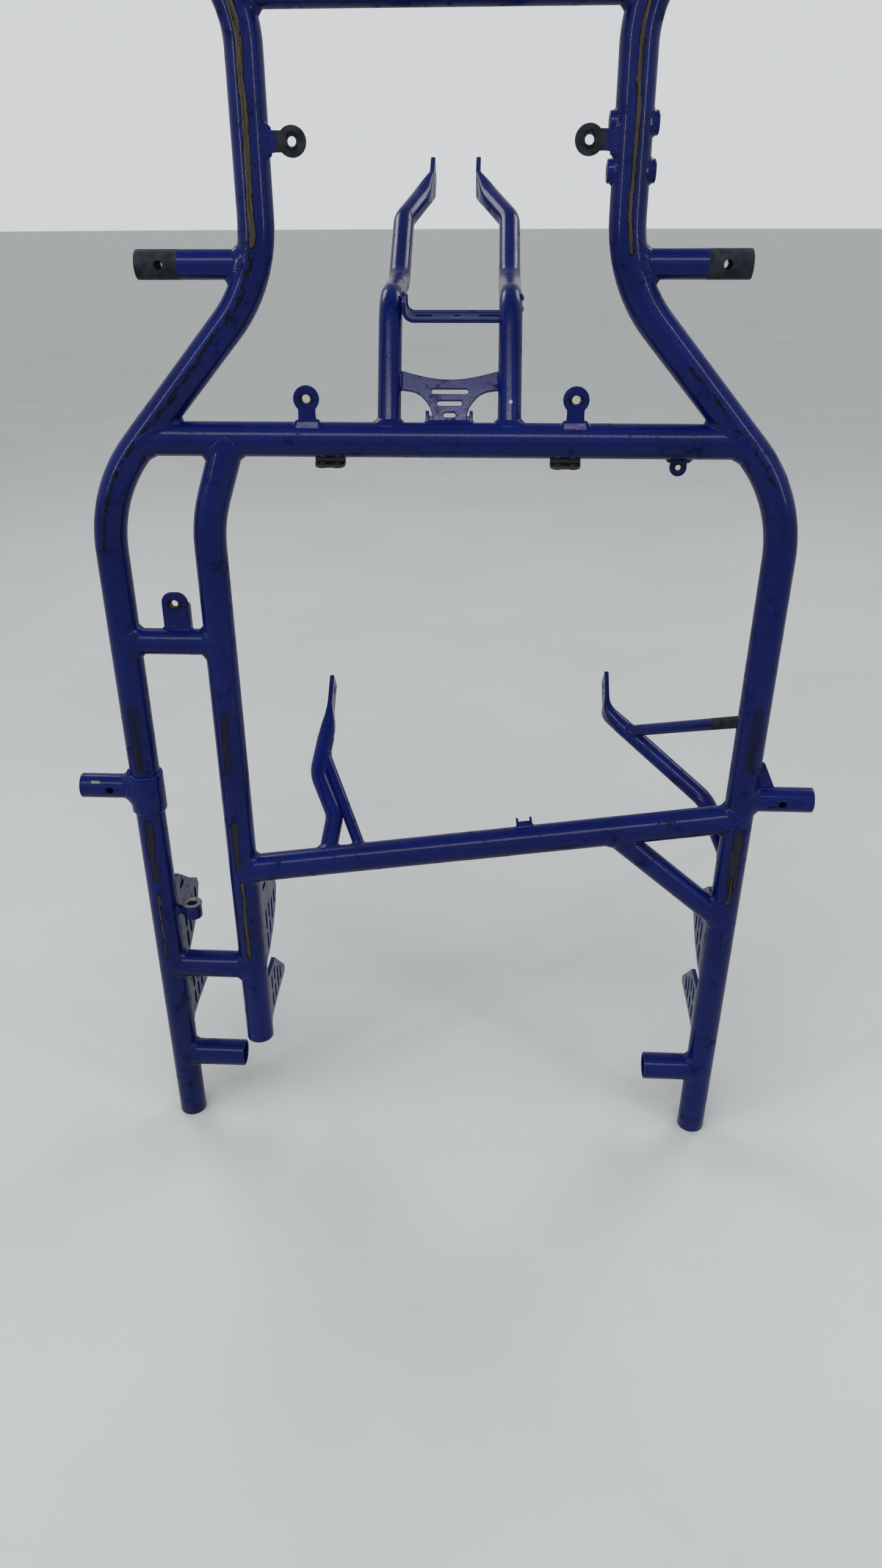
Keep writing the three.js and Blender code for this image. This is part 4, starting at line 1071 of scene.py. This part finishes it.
class Place:
    """Where a flat outline lies: its origin, and the directions of its x, its y and its thickness."""

    def __init__(self, origin, right, up):
        self.origin = np.array(origin, float)
        self.right, self.up = unit(right), unit(up)
        self.out = np.cross(self.right, self.up)

    def at(self, xy, z):
        xy = np.asarray(xy, float)
        return self.origin + xy[:, :1] * self.right + xy[:, 1:] * self.up + z * self.out


def plate(build, outline, holes, thickness, place, bevel=0.5, rim=0.0, hole_rim=0.66):
    """A flat plate with rounded edges, whose edges and holes are more worn than its faces."""
    loops = [(np.array(outline, float), 1, rim)] + [(np.array(h, float), -1, hole_rim) for h in holes]
    half = thickness / 2
    quarter = np.radians((0, 30, 60, 90))
    profile = [(bevel * (1 - math.sin(a)), half - bevel * (1 - math.cos(a))) for a in quarter]
    layers = profile + [(depth, -z) for depth, z in reversed(profile)]
    tops, bottoms = [], []
    for loop, turn, wear in loops:
        if area(loop) * turn < 0:
            loop = loop[::-1]
        rings = []
        for depth, z in layers:
            shape = inset(loop, depth)
            rings.append(build.add(place.at(shape, z), along=z, scrape=wear))
        build.chain(rings, 30)
        tops.append((rings[0][0], inset(loop, bevel)))
        bottoms.append((rings[-1][0], inset(loop, bevel)))
    for side in (tops, bottoms):
        flat = [[Vector((x, y, 0)) for x, y in loop] for _, loop in side]
        index = [start + i for start, loop in side for i in range(len(loop))]
        spots = [tuple(v) for _, loop in side for v in loop]
        for triangle in tessellate_polygon(flat):
            build.faces.append(tuple(index[i] for i in triangle))
            build.corners.append(tuple((spots[i][0] * MM, spots[i][1] * MM) for i in triangle))
            build.flats.add(len(build.faces) - 1)


def turned(build, profile, origin, direction, sides=56, wear=None):
    """A piece of lathe work from a closed profile of places along the axis and radii."""
    heading = unit(direction)
    side = unit(np.cross(heading, [0.3, 0.5, 0.81]))
    other = np.cross(heading, side)
    turn = np.arange(sides) * 2 * math.pi / sides
    spoke = np.cos(turn)[:, None] * side + np.sin(turn)[:, None] * other
    rings = []
    for i, (s, r) in enumerate(profile):
        radius = r(turn) if callable(r) else r
        points = np.array(origin, float) + heading * s + spoke * np.broadcast_to(radius, sides)[:, None]
        rings.append(build.add(points, along=s, bare=wear[i] if wear else 0.0))
    build.tube_of(rings, closed=True, reach=60)


def swept(build, path, section, toward):
    """A closed section swept along a path: its first axis starts from the direction given."""
    us, vs = frames_along(path, toward)
    section = np.array(section, float)
    rings = []
    for point, u, v, s in zip(path.points, us, vs, path.along):
        rings.append(build.add(point + section[:, :1] * u + section[:, 1:] * v, along=s))
    build.tube_of(rings, reach=60)


def root_weld(build, place, half, thickness, foot_y, skin, leg, rng, hollow=0.36):
    """A fillet weld all round the foot of a plate; the plate's y leads away from the skin."""
    deep = thickness / 2
    corners = [(-half, -deep), (half, -deep), (half, deep), (-half, deep)]
    loop = np.array(rounded(corners, min(1.4, thickness * 0.45), 30))
    points = place.origin + place.up * foot_y + loop[:, :1] * place.right + loop[:, 1:] * place.out
    ring = shoot(points, -place.up, skin, 0.0, points.mean(0) - place.up * 30)
    weld(build, ring, place.up, skin, leg, rng, hollow)


def piece(name, make, material="blue", sharp=50, holes=()):
    build = Builder()
    make(build, dust_of(name))
    obj = finish_object(name, build.mesh(name), material, sharp, build.flats)
    if holes:
        cut(obj, holes, sharp)


# Kingpin yokes: a C bent from thick plate.
for side, sign in SIDE_SIGNS:
    back = sign * (ARM_END_X + 0.3)

    def yoke(build, rng):
        outline = [(0, 0), (54, 0), (54, 8), (8, 8), (8, 58), (54, 58), (54, 66), (0, 66)]
        outline = rounded(outline, [11, 1.5, 1.5, 3, 3, 1.5, 1.5, 11], 9)
        plate(build, outline, [], 40, Place((back, -16, YOKE_Z), (sign, 0, 0), (0, 1, 0)), 0.9)

    pin = back + sign * 34
    piece(f"kingpin_yoke_{side}", yoke, holes=[rod(5.2, (pin, -40, YOKE_Z), (pin, 80, YOKE_Z), 48)])

# The sleeve round the right rail, with softly rounded ends.
def sleeve(build, rng):
    heading = unit(RAILS["right"].points[2] - RAILS["right"].points[1])
    profile = [(0, 16.05), (0, 17.4), (0.4, 18.4), (1.6, 19), (12, 19), (24, 19), (36, 19), (44.4, 19),
               (45.6, 18.4), (46, 17.4), (46, 16.05), (40, 16.02), (23, 16.02), (6, 16.02)]
    turned(build, profile, (rail_x(RIGHT_TAIL_X, SLEEVE_LOW_Z), 0, SLEEVE_LOW_Z), heading, 64)
    for z, middle in ((SLEEVE_HIGH_Z, 200), (SLEEVE_LOW_Z, 160)):
        centre = np.array([rail_x(RIGHT_TAIL_X, z), 0, z])
        angles = np.radians(middle) + np.linspace(-0.25, 0.25, 6)
        bead(build, [centre + 16.4 * np.array([math.cos(a), math.sin(a), 0]) for a in angles], 1.6, rng)


piece("pod_stub_sleeve", sleeve)

# ---- tabs and small brackets ----


def eye_outline(eye_r, neck, length, flare_at, flare=3):
    half = neck / 2
    lean = math.degrees(math.asin(half / eye_r))
    points = arc(0, 0, eye_r, -90 + lean, 270 - lean, 8)
    left = [(-half, -flare_at + 2.5 * flare), (-half - 0.5, -flare_at + 1.4 * flare),
            (-half - 0.4 * flare, -flare_at + 0.6 * flare), (-half - flare, -flare_at),
            (-half - flare, -length)]
    return points + left + [(-x, y) for x, y in reversed(left)]


def eye_piece(name, eye, away, length, skin, sizes=(12, 3.9, 16), thickness=4, material="blue", parent_r=16):
    eye_r, hole_r, neck = sizes

    def make(build, rng):
        away_v = np.array(away, float)
        across = np.cross([0, 1, 0] if abs(away_v[1]) < 0.5 else [0, 0, 1], away_v)
        place = Place(eye, across, away_v)
        outline = eye_outline(eye_r, neck, length - 3, length - parent_r + 1)
        plate(build, outline, [circle(0, 0, hole_r)], thickness, place, 0.6)
        root_weld(build, place, neck / 2 + 3, thickness, 0, skin, 3.2, rng)

    piece(name, make, material)


for side, sign in SIDE_SIGNS:
    eye = (sign * TRAY_TAB_X, TRAY_TAB_Y, TRAY_TAB_FRONT_Z)
    eye_piece(f"tray_tab_front_{side}", eye, (-sign, 0, 0), 36.5, RAIL_SKIN[side], material="dipped_tab")
for side, sign in SIDE_SIGNS:
    eye = (sign * TRAY_TAB_X, TRAY_TAB_Y, TRAY_TAB_REAR_Z)
    eye_piece(f"tray_tab_rear_{side}", eye, (0, 0, 1), 37.5, CROSS_SKIN)
eye_piece("small_tab", (223.5, 2, 818), (0, 0, -1), 24, CROSS_SKIN, (8, 2.6, 15), 3.5)
eye_piece("column_foot_lug", (0, 46, FRONT_CROSS_Z), (0, 1, 0), 46, FRONT_CROSS_SKIN, (13, 5, 20), 6,
          parent_r=14)

# Cable brackets: a strip with a foot of two round lobes turned towards the underside.
for side, x in (("right", -106), ("left", 117.5)):

    def cable_bracket(build, rng):
        half, lobe, tilt = 14.5, 7.25, math.radians(10)
        strip = rounded([(-half, -23.4), (half, -23.4), (half, -9), (-half, -9)], [2, 2, 0.5, 0.5])
        plate(build, strip, [], 3, Place((x, 5.5, CENTRE_CROSS_Z), (1, 0, 0), (0, 0, 1)), 0.5)
        lobes = [(-half, -2.9), (half, -2.9)]
        lobes += arc(lobe, 3, lobe, 0, 125, 8) + arc(-lobe, 3, lobe, 55, 180, 8)
        foot = Place((x, 4.26, CENTRE_CROSS_Z - 22.48), (1, 0, 0), (0, -math.cos(tilt), -math.sin(tilt)))
        plate(build, lobes, [circle(-lobe, 5, 3), circle(lobe, 5, 3)], 3, foot, 0.5)
        place = Place((x, 5.5, CENTRE_CROSS_Z), (1, 0, 0), (0, 0, -1))
        root_weld(build, place, 13, 3, 20, CROSS_SKIN, 2.2, rng)

    piece(f"cable_bracket_{side}", cable_bracket, "black")

BAY_FRONT_SKIN = TubeSkin(Path([(-330, 0, BAY_TUBE_FRONT_Z), (-229, 0, BAY_TUBE_FRONT_Z)]), MEDIUM_OD)


def engine_bracket(build, rng):
    x, y, half, t, top, corner, depth = -272.5, 2, 13.5, 3, 690, 11, 9
    root = BAY_TUBE_FRONT_Z + 8
    rise = top - corner - root
    outline = [(half, -corner - 8)] + arc(half - corner, -corner, corner, 0, 90, 9)
    outline += arc(-half + corner, -corner, corner, 90, 180, 9) + [(-half, -corner - 8)]
    outline += [(-half, root - top), (half, root - top)]
    plate(build, outline, [circle(0, 678.5 - top, 3.4)], t, Place((x, y, top), (1, 0, 0), (0, 0, 1)), 0.5)
    cheek = [(0, 0), (depth - 1, 0), (depth - 1, rise - 4), (3, rise), (0, rise)]
    for sign in (-1, 1):
        side = Place((x + sign * (half - t / 2 + 0.35), y + 0.6, root), (0, 1, 0), (0, 0, 1))
        plate(build, rounded(cheek, [0.1, 0.1, 3, 1, 0.1]), [], t, side, 0.7)
    foot = Place((x, y + 2.5, BAY_TUBE_FRONT_Z), (1, 0, 0), (0, 0, 1))
    root_weld(build, foot, half, 8, 20, BAY_FRONT_SKIN, 2.8, rng)


piece("engine_bay_bracket", engine_bracket)

BOSS_R = 9.2
for name, z in BOSS_PLACES.items():

    def boss(build, rng):
        r, h = BOSS_R, 20.5
        edge = [(-h, 4.9), (-h, r - 1.2), (-h + 0.35, r - 0.35), (-h + 1.2, r)]
        profile = edge + [(0, r)] + [(-s, a) for s, a in reversed(edge)]
        profile += [(h - 0.9, 4.0), (0, 4.0), (-h + 0.9, 4.0)]
        wear = [0.5 if a < 5 else 0.1 for s, a in profile]
        turned(build, profile, (WAIST_HALF, 0, z), (1, 0, 0), 48, wear)
        for sign in (-1, 1):
            turn = np.radians(np.arange(0, 360, 10))
            beside = np.full(len(turn), WAIST_HALF + sign * 30.0)
            ring = np.stack([beside, r * np.cos(turn), z + r * np.sin(turn)], 1)
            ring = shoot(ring, np.array([-sign, 0, 0.0]), RAIL_SKIN["left"], 0, (WAIST_HALF, 0, z))
            weld(build, ring, np.array([sign, 0, 0.0]), RAIL_SKIN["left"], 1.8, rng)

    piece(name, boss)


def bush(build, rng):
    r, half, pitch = 10.6, 9.5, 1.5
    rows = 78

    def screw(s):
        return lambda turn: 5.25 + 0.42 * np.abs(((s / pitch - turn / (2 * math.pi)) % 1) * 2 - 1)

    outer = [(-half, 6.6), (-half, r - 1.0), (-half + 0.3, r - 0.3), (-half + 1, r), (0, r), (half - 4, r),
             (half - 3, r + 0.5), (half - 1, r + 0.9), (half - 0.3, r + 0.6), (half, r), (half, 7.4),
             (half - 1.6, 5.9)]
    wear = [0.2] * 7 + [0.5, 0.75, 0.9, 0.9, 0.8]
    inner = [(s, screw(s)) for s in np.linspace(half - 1.9, -half + 1.4, rows)]
    turned(build, outer + inner, (BUSH_X, 0, BUSH_Z), (0, 0, 1), 56, wear + [0.3] * rows)
    # A short neck of weld joins it to the rail.
    rail = np.array([rail_x(RIGHT_TAIL_X, BUSH_Z), 0, BUSH_Z])
    turn = np.radians(np.arange(0, 360, 12))
    neck_r, neck_x, neck_z = 4.6, -300.0, BUSH_Z - 1
    ring = np.stack([np.full(len(turn), neck_x), neck_r * np.cos(turn), neck_z + neck_r * np.sin(turn)], 1)
    root = ring.copy()
    root[:, 0] = rail[0] + 12
    build.tube_of([build.add(root), build.add(ring)])
    on_rail = shoot(ring, np.array([-1.0, 0, 0]), RAIL_SKIN["right"], 0, rail)
    weld(build, on_rail, np.array([1.0, 0, 0]), RAIL_SKIN["right"], 3.6, rng, 0.45)
    bush_skin = TubeSkin(Path([(BUSH_X, 0, BUSH_Z - 17), (BUSH_X, 0, BUSH_Z + 17)]), 2 * r)
    on_bush = shoot(ring - [6, 0, 0], np.array([1.0, 0, 0]), bush_skin, 0, (BUSH_X, 0, BUSH_Z))
    weld(build, on_bush, np.array([-1.0, 0, 0]), bush_skin, 3.0, rng, 0.45)


piece("threaded_bush", bush, sharp=40)


def cable_guide(build, rng):
    x, z = 94, rear_cross_z(94)
    lean = math.atan(REAR_CROSS_SLOPE)
    along = (math.cos(lean), 0, math.sin(lean))
    up = (-math.sin(lean), 0, math.cos(lean))
    place = Place((x, 1.25, z), along, up)
    plate(build, [(-8, 4), (8, 4), (8, 23), (-8, 23)], [], 2.5, place, 0.5)
    for sign in (-1, 1):
        origin = place.origin + place.right * sign * 7.5 + np.array([0, -1.25, 0])
        shape = rounded([(0, 4), (9, 4), (9, 19), (2.5, 27.6), (0, 27.6)], [0.1, 0.1, 2.5, 0.8, 0.8])
        plate(build, shape, [], 2.5, Place(origin, (0, 1, 0), up), 0.5)
    root_weld(build, Place((x, 4.5, z), along, up), 8.6, 9, 20, REAR_CROSS_SKIN, 2.2, rng)


piece("cable_guide", cable_guide)

# ---- slotted plate, channel and strap between the uprights ----
LEAN = math.radians(27)
LEAN_UP = np.array([0, math.sin(LEAN), math.cos(LEAN)])
PLATE_PLACE = Place((PLATE_MIDDLE_X, 0, CENTRE_CROSS_Z), (1, 0, 0), LEAN_UP)
SLOTTED_ARM = [(15.7, 10), (15.7, 17.5), (16.7, 25.8), (18.7, 31), (21.7, 35.4), (25, 39.4), (28, 42),
               (32, 44.2), (36, 45.4), (42, 46.3), (50.5, 46.6)]


def slotted_plate(build, rng):
    xs = np.linspace(50.5, -50.5, 35)
    top = [(x, 56.4 + 8.2 * (1 - math.cos(min(abs(x) / 46, 1.08) * math.pi * 0.5))) for x in xs]
    outline = SLOTTED_ARM + top + [(-x, y) for x, y in reversed(SLOTTED_ARM)]
    slots = [slot(-x, y, x, y, 2.5) for x, y in ((15, 45.3), (9.4, 34.3), (3.4, 23.3))]
    plate(build, outline, slots, 4, PLATE_PLACE, 0.6, hole_rim=0.0)
    for sign in (-1, 1):
        for z in (-2.2, 2.2):
            line = [(sign * 46.4, y) for y in (47, 56, 64.5)]
            bead(build, PLATE_PLACE.at(line, z), 2.0, rng)
    root_weld(build, PLATE_PLACE, 15.5, 4, 24, CROSS_SKIN, 2.4, rng)


piece("slotted_plate", slotted_plate)


def plate_channel(build, rng):
    rear = np.array([0, math.cos(LEAN), -math.sin(LEAN)])
    for sign in (-1, 1):
        ear = Place(PLATE_PLACE.origin + [sign * 20.5, 0, 0], rear, LEAN_UP)
        plate(build, rounded([(-7, 9), (7, 9), (7, 26), (-7, 26)], [0.1, 0.1, 2.5, 2.5]), [], 3, ear, 0.6)
        wall = Place(PLATE_PLACE.origin + rear * 4.4 + [sign * 17.8, 0, 0], (1, 0, 0), LEAN_UP)
        plate(build, [(-2.8, 9), (2.8, 9), (2.8, 24), (-2.8, 24)], [], 3, wall, 0.5)
    web = Place(PLATE_PLACE.origin + rear * 4.6, (1, 0, 0), LEAN_UP)
    plate(build, [(-20, 9), (20, 9), (20, 19), (-20, 19)], [], 3, web, 0.5)
    foot = Place(PLATE_PLACE.origin + rear * 0.5, (1, 0, 0), LEAN_UP)
    root_weld(build, foot, 22, 13, 24, CROSS_SKIN, 2.0, rng)


piece("plate_channel", plate_channel)


STRAP_Y = 54.5
STRAP_Z = 945
STRAP_LEFT_X = 57
STRAP_RIGHT_X = -36.7
STRAP_TIP = math.radians(14.5)
STRAP_UP = np.array([0, -math.sin(STRAP_TIP), math.cos(STRAP_TIP)])
STRAP_DEPTH = (0, math.cos(STRAP_TIP), math.sin(STRAP_TIP))


def column_strap(build, rng):
    low = np.array([0, STRAP_Y, STRAP_Z])
    bend = low + [STRAP_RIGHT_X, 0, 0]
    path = Path([low + [STRAP_LEFT_X, 0, 0], bend, bend + STRAP_UP * 17], (9.5,), turn=9, spacing=6)
    section = [(-12, -1.8), (12, -1.5), (12, 2.6), (10.2, 2.6), (9.4, 1.3), (-9.4, 1.3), (-10.4, 1.9),
               (-12, 1.9)]
    section = rounded(section, [1.2, 1.2, 0.8, 0.7, 0.8, 0.5, 0.5, 0.8], 30)
    _, vs = frames_along(path, STRAP_DEPTH)
    if vs[0] @ STRAP_UP < 0:
        section = [(a, -b) for a, b in section]
    swept(build, path, section, STRAP_DEPTH)
    for height in (6.6, 16):
        place = low + [71.6, 4 + height * 0.3, height]
        bead(build, [place + [0, -4, -1], place + [0, 6, 1]], 3.4, rng)
    end = low + [STRAP_RIGHT_X - 1.5, 0, 0] + STRAP_UP * 10
    for dy in (-10, 10):
        bead(build, [end + [0, dy, -3], end + [0, dy, 12]], 1.8, rng)


strap_slots = []
for x0, x1, r in ((-23.6, -13, 3), (11.6, 14, 2), (35.5, 50.4, 3)):
    build = Builder()
    place = Place((0, STRAP_Y, STRAP_Z), (1, 0, 0), np.cross(STRAP_UP, (1, 0, 0)))
    build.tube_of([build.add(place.at(slot(x0, 0, x1, 0, r), height)) for height in (-9, 9)])
    strap_slots.append(build.mesh("cutter"))
piece("column_strap", column_strap, holes=strap_slots)

# ---- bearing hangers ----
FRONT_LUG = [(346, 4), (344, 18), (312, 60), (296, 86), (286, 90), (268, 80), (247, 58), (231, 28), (227, 4)]
FRONT_SLOTS = [(240, 24, 256, 24), (268, 24, 288, 24), (250, 40, 264, 40), (274, 40, 290, 40),
               (262, 56, 286, 56), (274, 72, 288, 72), (325, 20, 325, 30)]
REAR_LUG = [(204, 4), (204, 50), (198, 56), (156, 100), (148, 98), (145, 40), (140, 4)]
REAR_SLOTS = [(152, 24, 166, 24), (178, 24, 192, 24), (154, 40, 168, 40), (179, 40, 193, 40),
              (156, 56, 184, 56), (158, 72, 172, 72)]
LUG_ROOT_Y = 4
LUG_OFFSET = 12.5
HANGER_Z = 240
HANGERS = {
    "right": (rail_x(RIGHT_TAIL_X, HANGER_Z) + LUG_OFFSET, RAIL_SKIN["right"]),
    "engine": (engine_x(HANGER_Z) + LUG_OFFSET, ENGINE_SKIN),
    "left": (rail_x(LEFT_TAIL_X, HANGER_Z) - LUG_OFFSET, RAIL_SKIN["left"]),
}
for hanger, (plane_x, skin) in HANGERS.items():
    for which, outline, slots in (("front", FRONT_LUG, FRONT_SLOTS), ("rear", REAR_LUG, REAR_SLOTS)):

        def lug(build, rng):
            zs = [z for z, y in outline if y == LUG_ROOT_Y]
            foot = Place((plane_x, 0, sum(zs) / 2), (0, 0, 1), (0, 1, 0))
            shape = [(z - foot.origin[2], y) for z, y in rounded(outline, 4.5)]
            cuts = [slot(z0 - foot.origin[2], y0, z1 - foot.origin[2], y1, 3) for z0, y0, z1, y1 in slots]
            plate(build, shape, cuts, 5, foot, 0.6, hole_rim=0.0)
            root_weld(build, foot, abs(zs[0] - zs[1]) / 2 - 1, 5, 30, skin, 3.2, rng)

        piece(f"hanger_{hanger}_{which}_lug", lug)

# ---- gusset, pedal clevises ----


def gusset(build, rng):
    root_x, root_z = rail_x(LEFT_TAIL_X, POD_REAR_Z) + 16, POD_REAR_Z + 13.5
    shape = rounded([(-5, -4), (18, -4), (18, 0), (4, 30), (-5, 30)], [0.1, 0.5, 1.5, 2, 0.1])
    plate(build, shape, [], 4, Place((root_x, 0, root_z), (1, 0, 0), (0, 0, 1)), 0.6)
    for y in (-2.3, 2.3):
        bead(build, [(root_x - 0.4, y, root_z + 2), (root_x - 0.2, y, root_z + 29)], 2.0, rng)
        bead(build, [(root_x + 1, y, root_z), (root_x + 17, y, root_z)], 2.0, rng)


piece("pod_stub_gusset", gusset)

for side, sign in SIDE_SIGNS:

    def clevis(build, rng):
        leg_x = sign * 176
        centre = leg_x - sign * 13
        for z in (1331, 1349):
            shape = [(10, 1)] + arc(0, 24, 10, 0, 180, 9) + [(-10, 1)]
            plate(build, shape, [circle(0, 24, 4)], 4, Place((centre, 0, z), (1, 0, 0), (0, 1, 0)), 0.6)
        base = Place((centre, 2, 1340), (1, 0, 0), (0, 0, 1))
        plate(build, rounded([(-13, -11), (13, -11), (13, 11), (-13, 11)], 1), [], 4, base, 0.8)
        root_weld(build, Place((leg_x, 2, 1340), (0, 0, 1), (-sign, 0, 0)), 11, 4, 12, HOOP_SKIN, 3, rng)

    piece(f"pedal_clevis_{side}", clevis)

# ---- floor, light and camera ------------------------------------------------------------------


FLOOR_RADIUS = 80000
FLOOR_SIDES = 128
FLOOR_TONES = ((0.36, 0.372, 0.37, 1), (0.38, 0.392, 0.39, 1))


def make_floor():
    """A pale disc, so wide that its edge is a level horizon."""
    build = Builder()
    turn = np.linspace(0, 2 * math.pi, FLOOR_SIDES + 1)[:-1]
    rim = np.stack([np.cos(turn), np.sin(turn), 0 * turn], 1)
    build.add(rim * FLOOR_RADIUS)
    build.faces.append(tuple(range(FLOOR_SIDES)))
    build.corners.append(tuple((x, y) for x, y, _ in rim))
    mesh = build.mesh("floor")
    obj = placed("floor", mesh)
    n = Nodes("floor")
    tone = n.ramp(n.noise(n.place, 1.3, 5, 0.6), 0.3, 0.7)
    n.set("Base Color", n.mix(tone, *FLOOR_TONES))
    n.set("Roughness", n.ramp(n.noise(n.place, 6, 4, 0.6), 0.3, 0.7, 0.50, 0.54))
    mesh.materials.append(n.material)


# Name, place, height of the point aimed at, width, height and power, in metres and watts.
SOFT_LIGHTS = (
    ("key", (-0.3, -2.0, 2.5), 0.7, 2.3, 0.7, 20),
    ("strip_top", (0.0, -1.75, 2.42), 0.8, 2.0, 0.04, 4),
    ("strip_left", (-1.6, -1.3, 1.4), 0.75, 0.07, 1.3, 6),
    ("strip_right", (1.6, -1.2, 1.4), 0.75, 0.07, 1.3, 6),
    ("rear_left", (2.0, 1.9, 3.0), 0.7, 1.2, 1.2, 26),
    ("rear_right", (-2.0, 1.9, 3.0), 0.7, 1.2, 1.2, 26),
)
SKY_POWER = 2.1
SKY_SPREAD = math.radians(70)
SKY_TURN = (math.radians(24), math.radians(-12), 0)


def soft_light(name, place, aim_z, width, height, power):
    lamp = bpy.data.lights.new(name, "AREA")
    lamp.shape = "RECTANGLE"
    lamp.size = width
    lamp.size_y = height
    lamp.energy = power
    obj = placed(name, lamp)
    obj.location = place
    obj.rotation_mode = "QUATERNION"
    obj.rotation_quaternion = (Vector((0, 0, aim_z)) - Vector(place)).to_track_quat("-Z", "Y")


make_floor()
for soft in SOFT_LIGHTS:
    soft_light(*soft)
sun_data = bpy.data.lights.new("sky_glow", "SUN")
sun_data.energy = SKY_POWER
sun_data.angle = SKY_SPREAD
sun = placed("sky_glow", sun_data)
sun.visible_glossy = False
sun.rotation_euler = SKY_TURN

# The sky fades from near the horizon to overhead: from and to height, then from and to strength.
SKY_FADE = (0.10, 0.90, 0.66, 0.26)
world = bpy.data.worlds.new("studio")
world.use_nodes = True
sky = world.node_tree
background = sky.nodes["Background"]
ray = sky.nodes.new("ShaderNodeTexCoord")
height = sky.nodes.new("ShaderNodeSeparateXYZ")
fade = sky.nodes.new("ShaderNodeMapRange")
fade.interpolation_type = "SMOOTHSTEP"
for socket, value in zip(fade.inputs[1:5], SKY_FADE):
    socket.default_value = value
sky.links.new(ray.outputs["Generated"], height.inputs[0])
sky.links.new(height.outputs[2], fade.inputs[0])
sky.links.new(fade.outputs[0], background.inputs["Strength"])
background.inputs["Color"].default_value = (0.97, 0.99, 1.0, 1)
bpy.context.scene.world = world
bpy.context.scene.view_settings.view_transform = "Standard"

# The camera looks down on the underside from in front of it. Its focal length is given as a share of the
# picture's longer side.
SENSOR = 36
FOCAL_SHARE = 1822.0 / 2569
CAMERA_X = 0.0553
CAMERA_FROM_AXIS = 1.0766
CAMERA_Z = 1.0334
CAMERA_FORWARD = (-0.04645, 0.88782, -0.45784)
CAMERA_RIGHT = (0.99871, 0.05073, -0.00295)

camera_data = bpy.data.cameras.new("camera")
camera_data.sensor_width = SENSOR
camera_data.lens = FOCAL_SHARE * SENSOR
camera_data.clip_start = 0.05
camera_data.clip_end = 200
camera = placed("camera", camera_data)
forward = Vector(CAMERA_FORWARD).normalized()
right = Vector(CAMERA_RIGHT)
right = (right - forward * right.dot(forward)).normalized()
up = right.cross(forward)
turned_to = Matrix((right, up, -forward)).transposed().to_4x4()
camera.matrix_world = Matrix.Translation((CAMERA_X, AXIS_Y - CAMERA_FROM_AXIS, CAMERA_Z)) @ turned_to
bpy.context.scene.camera = camera
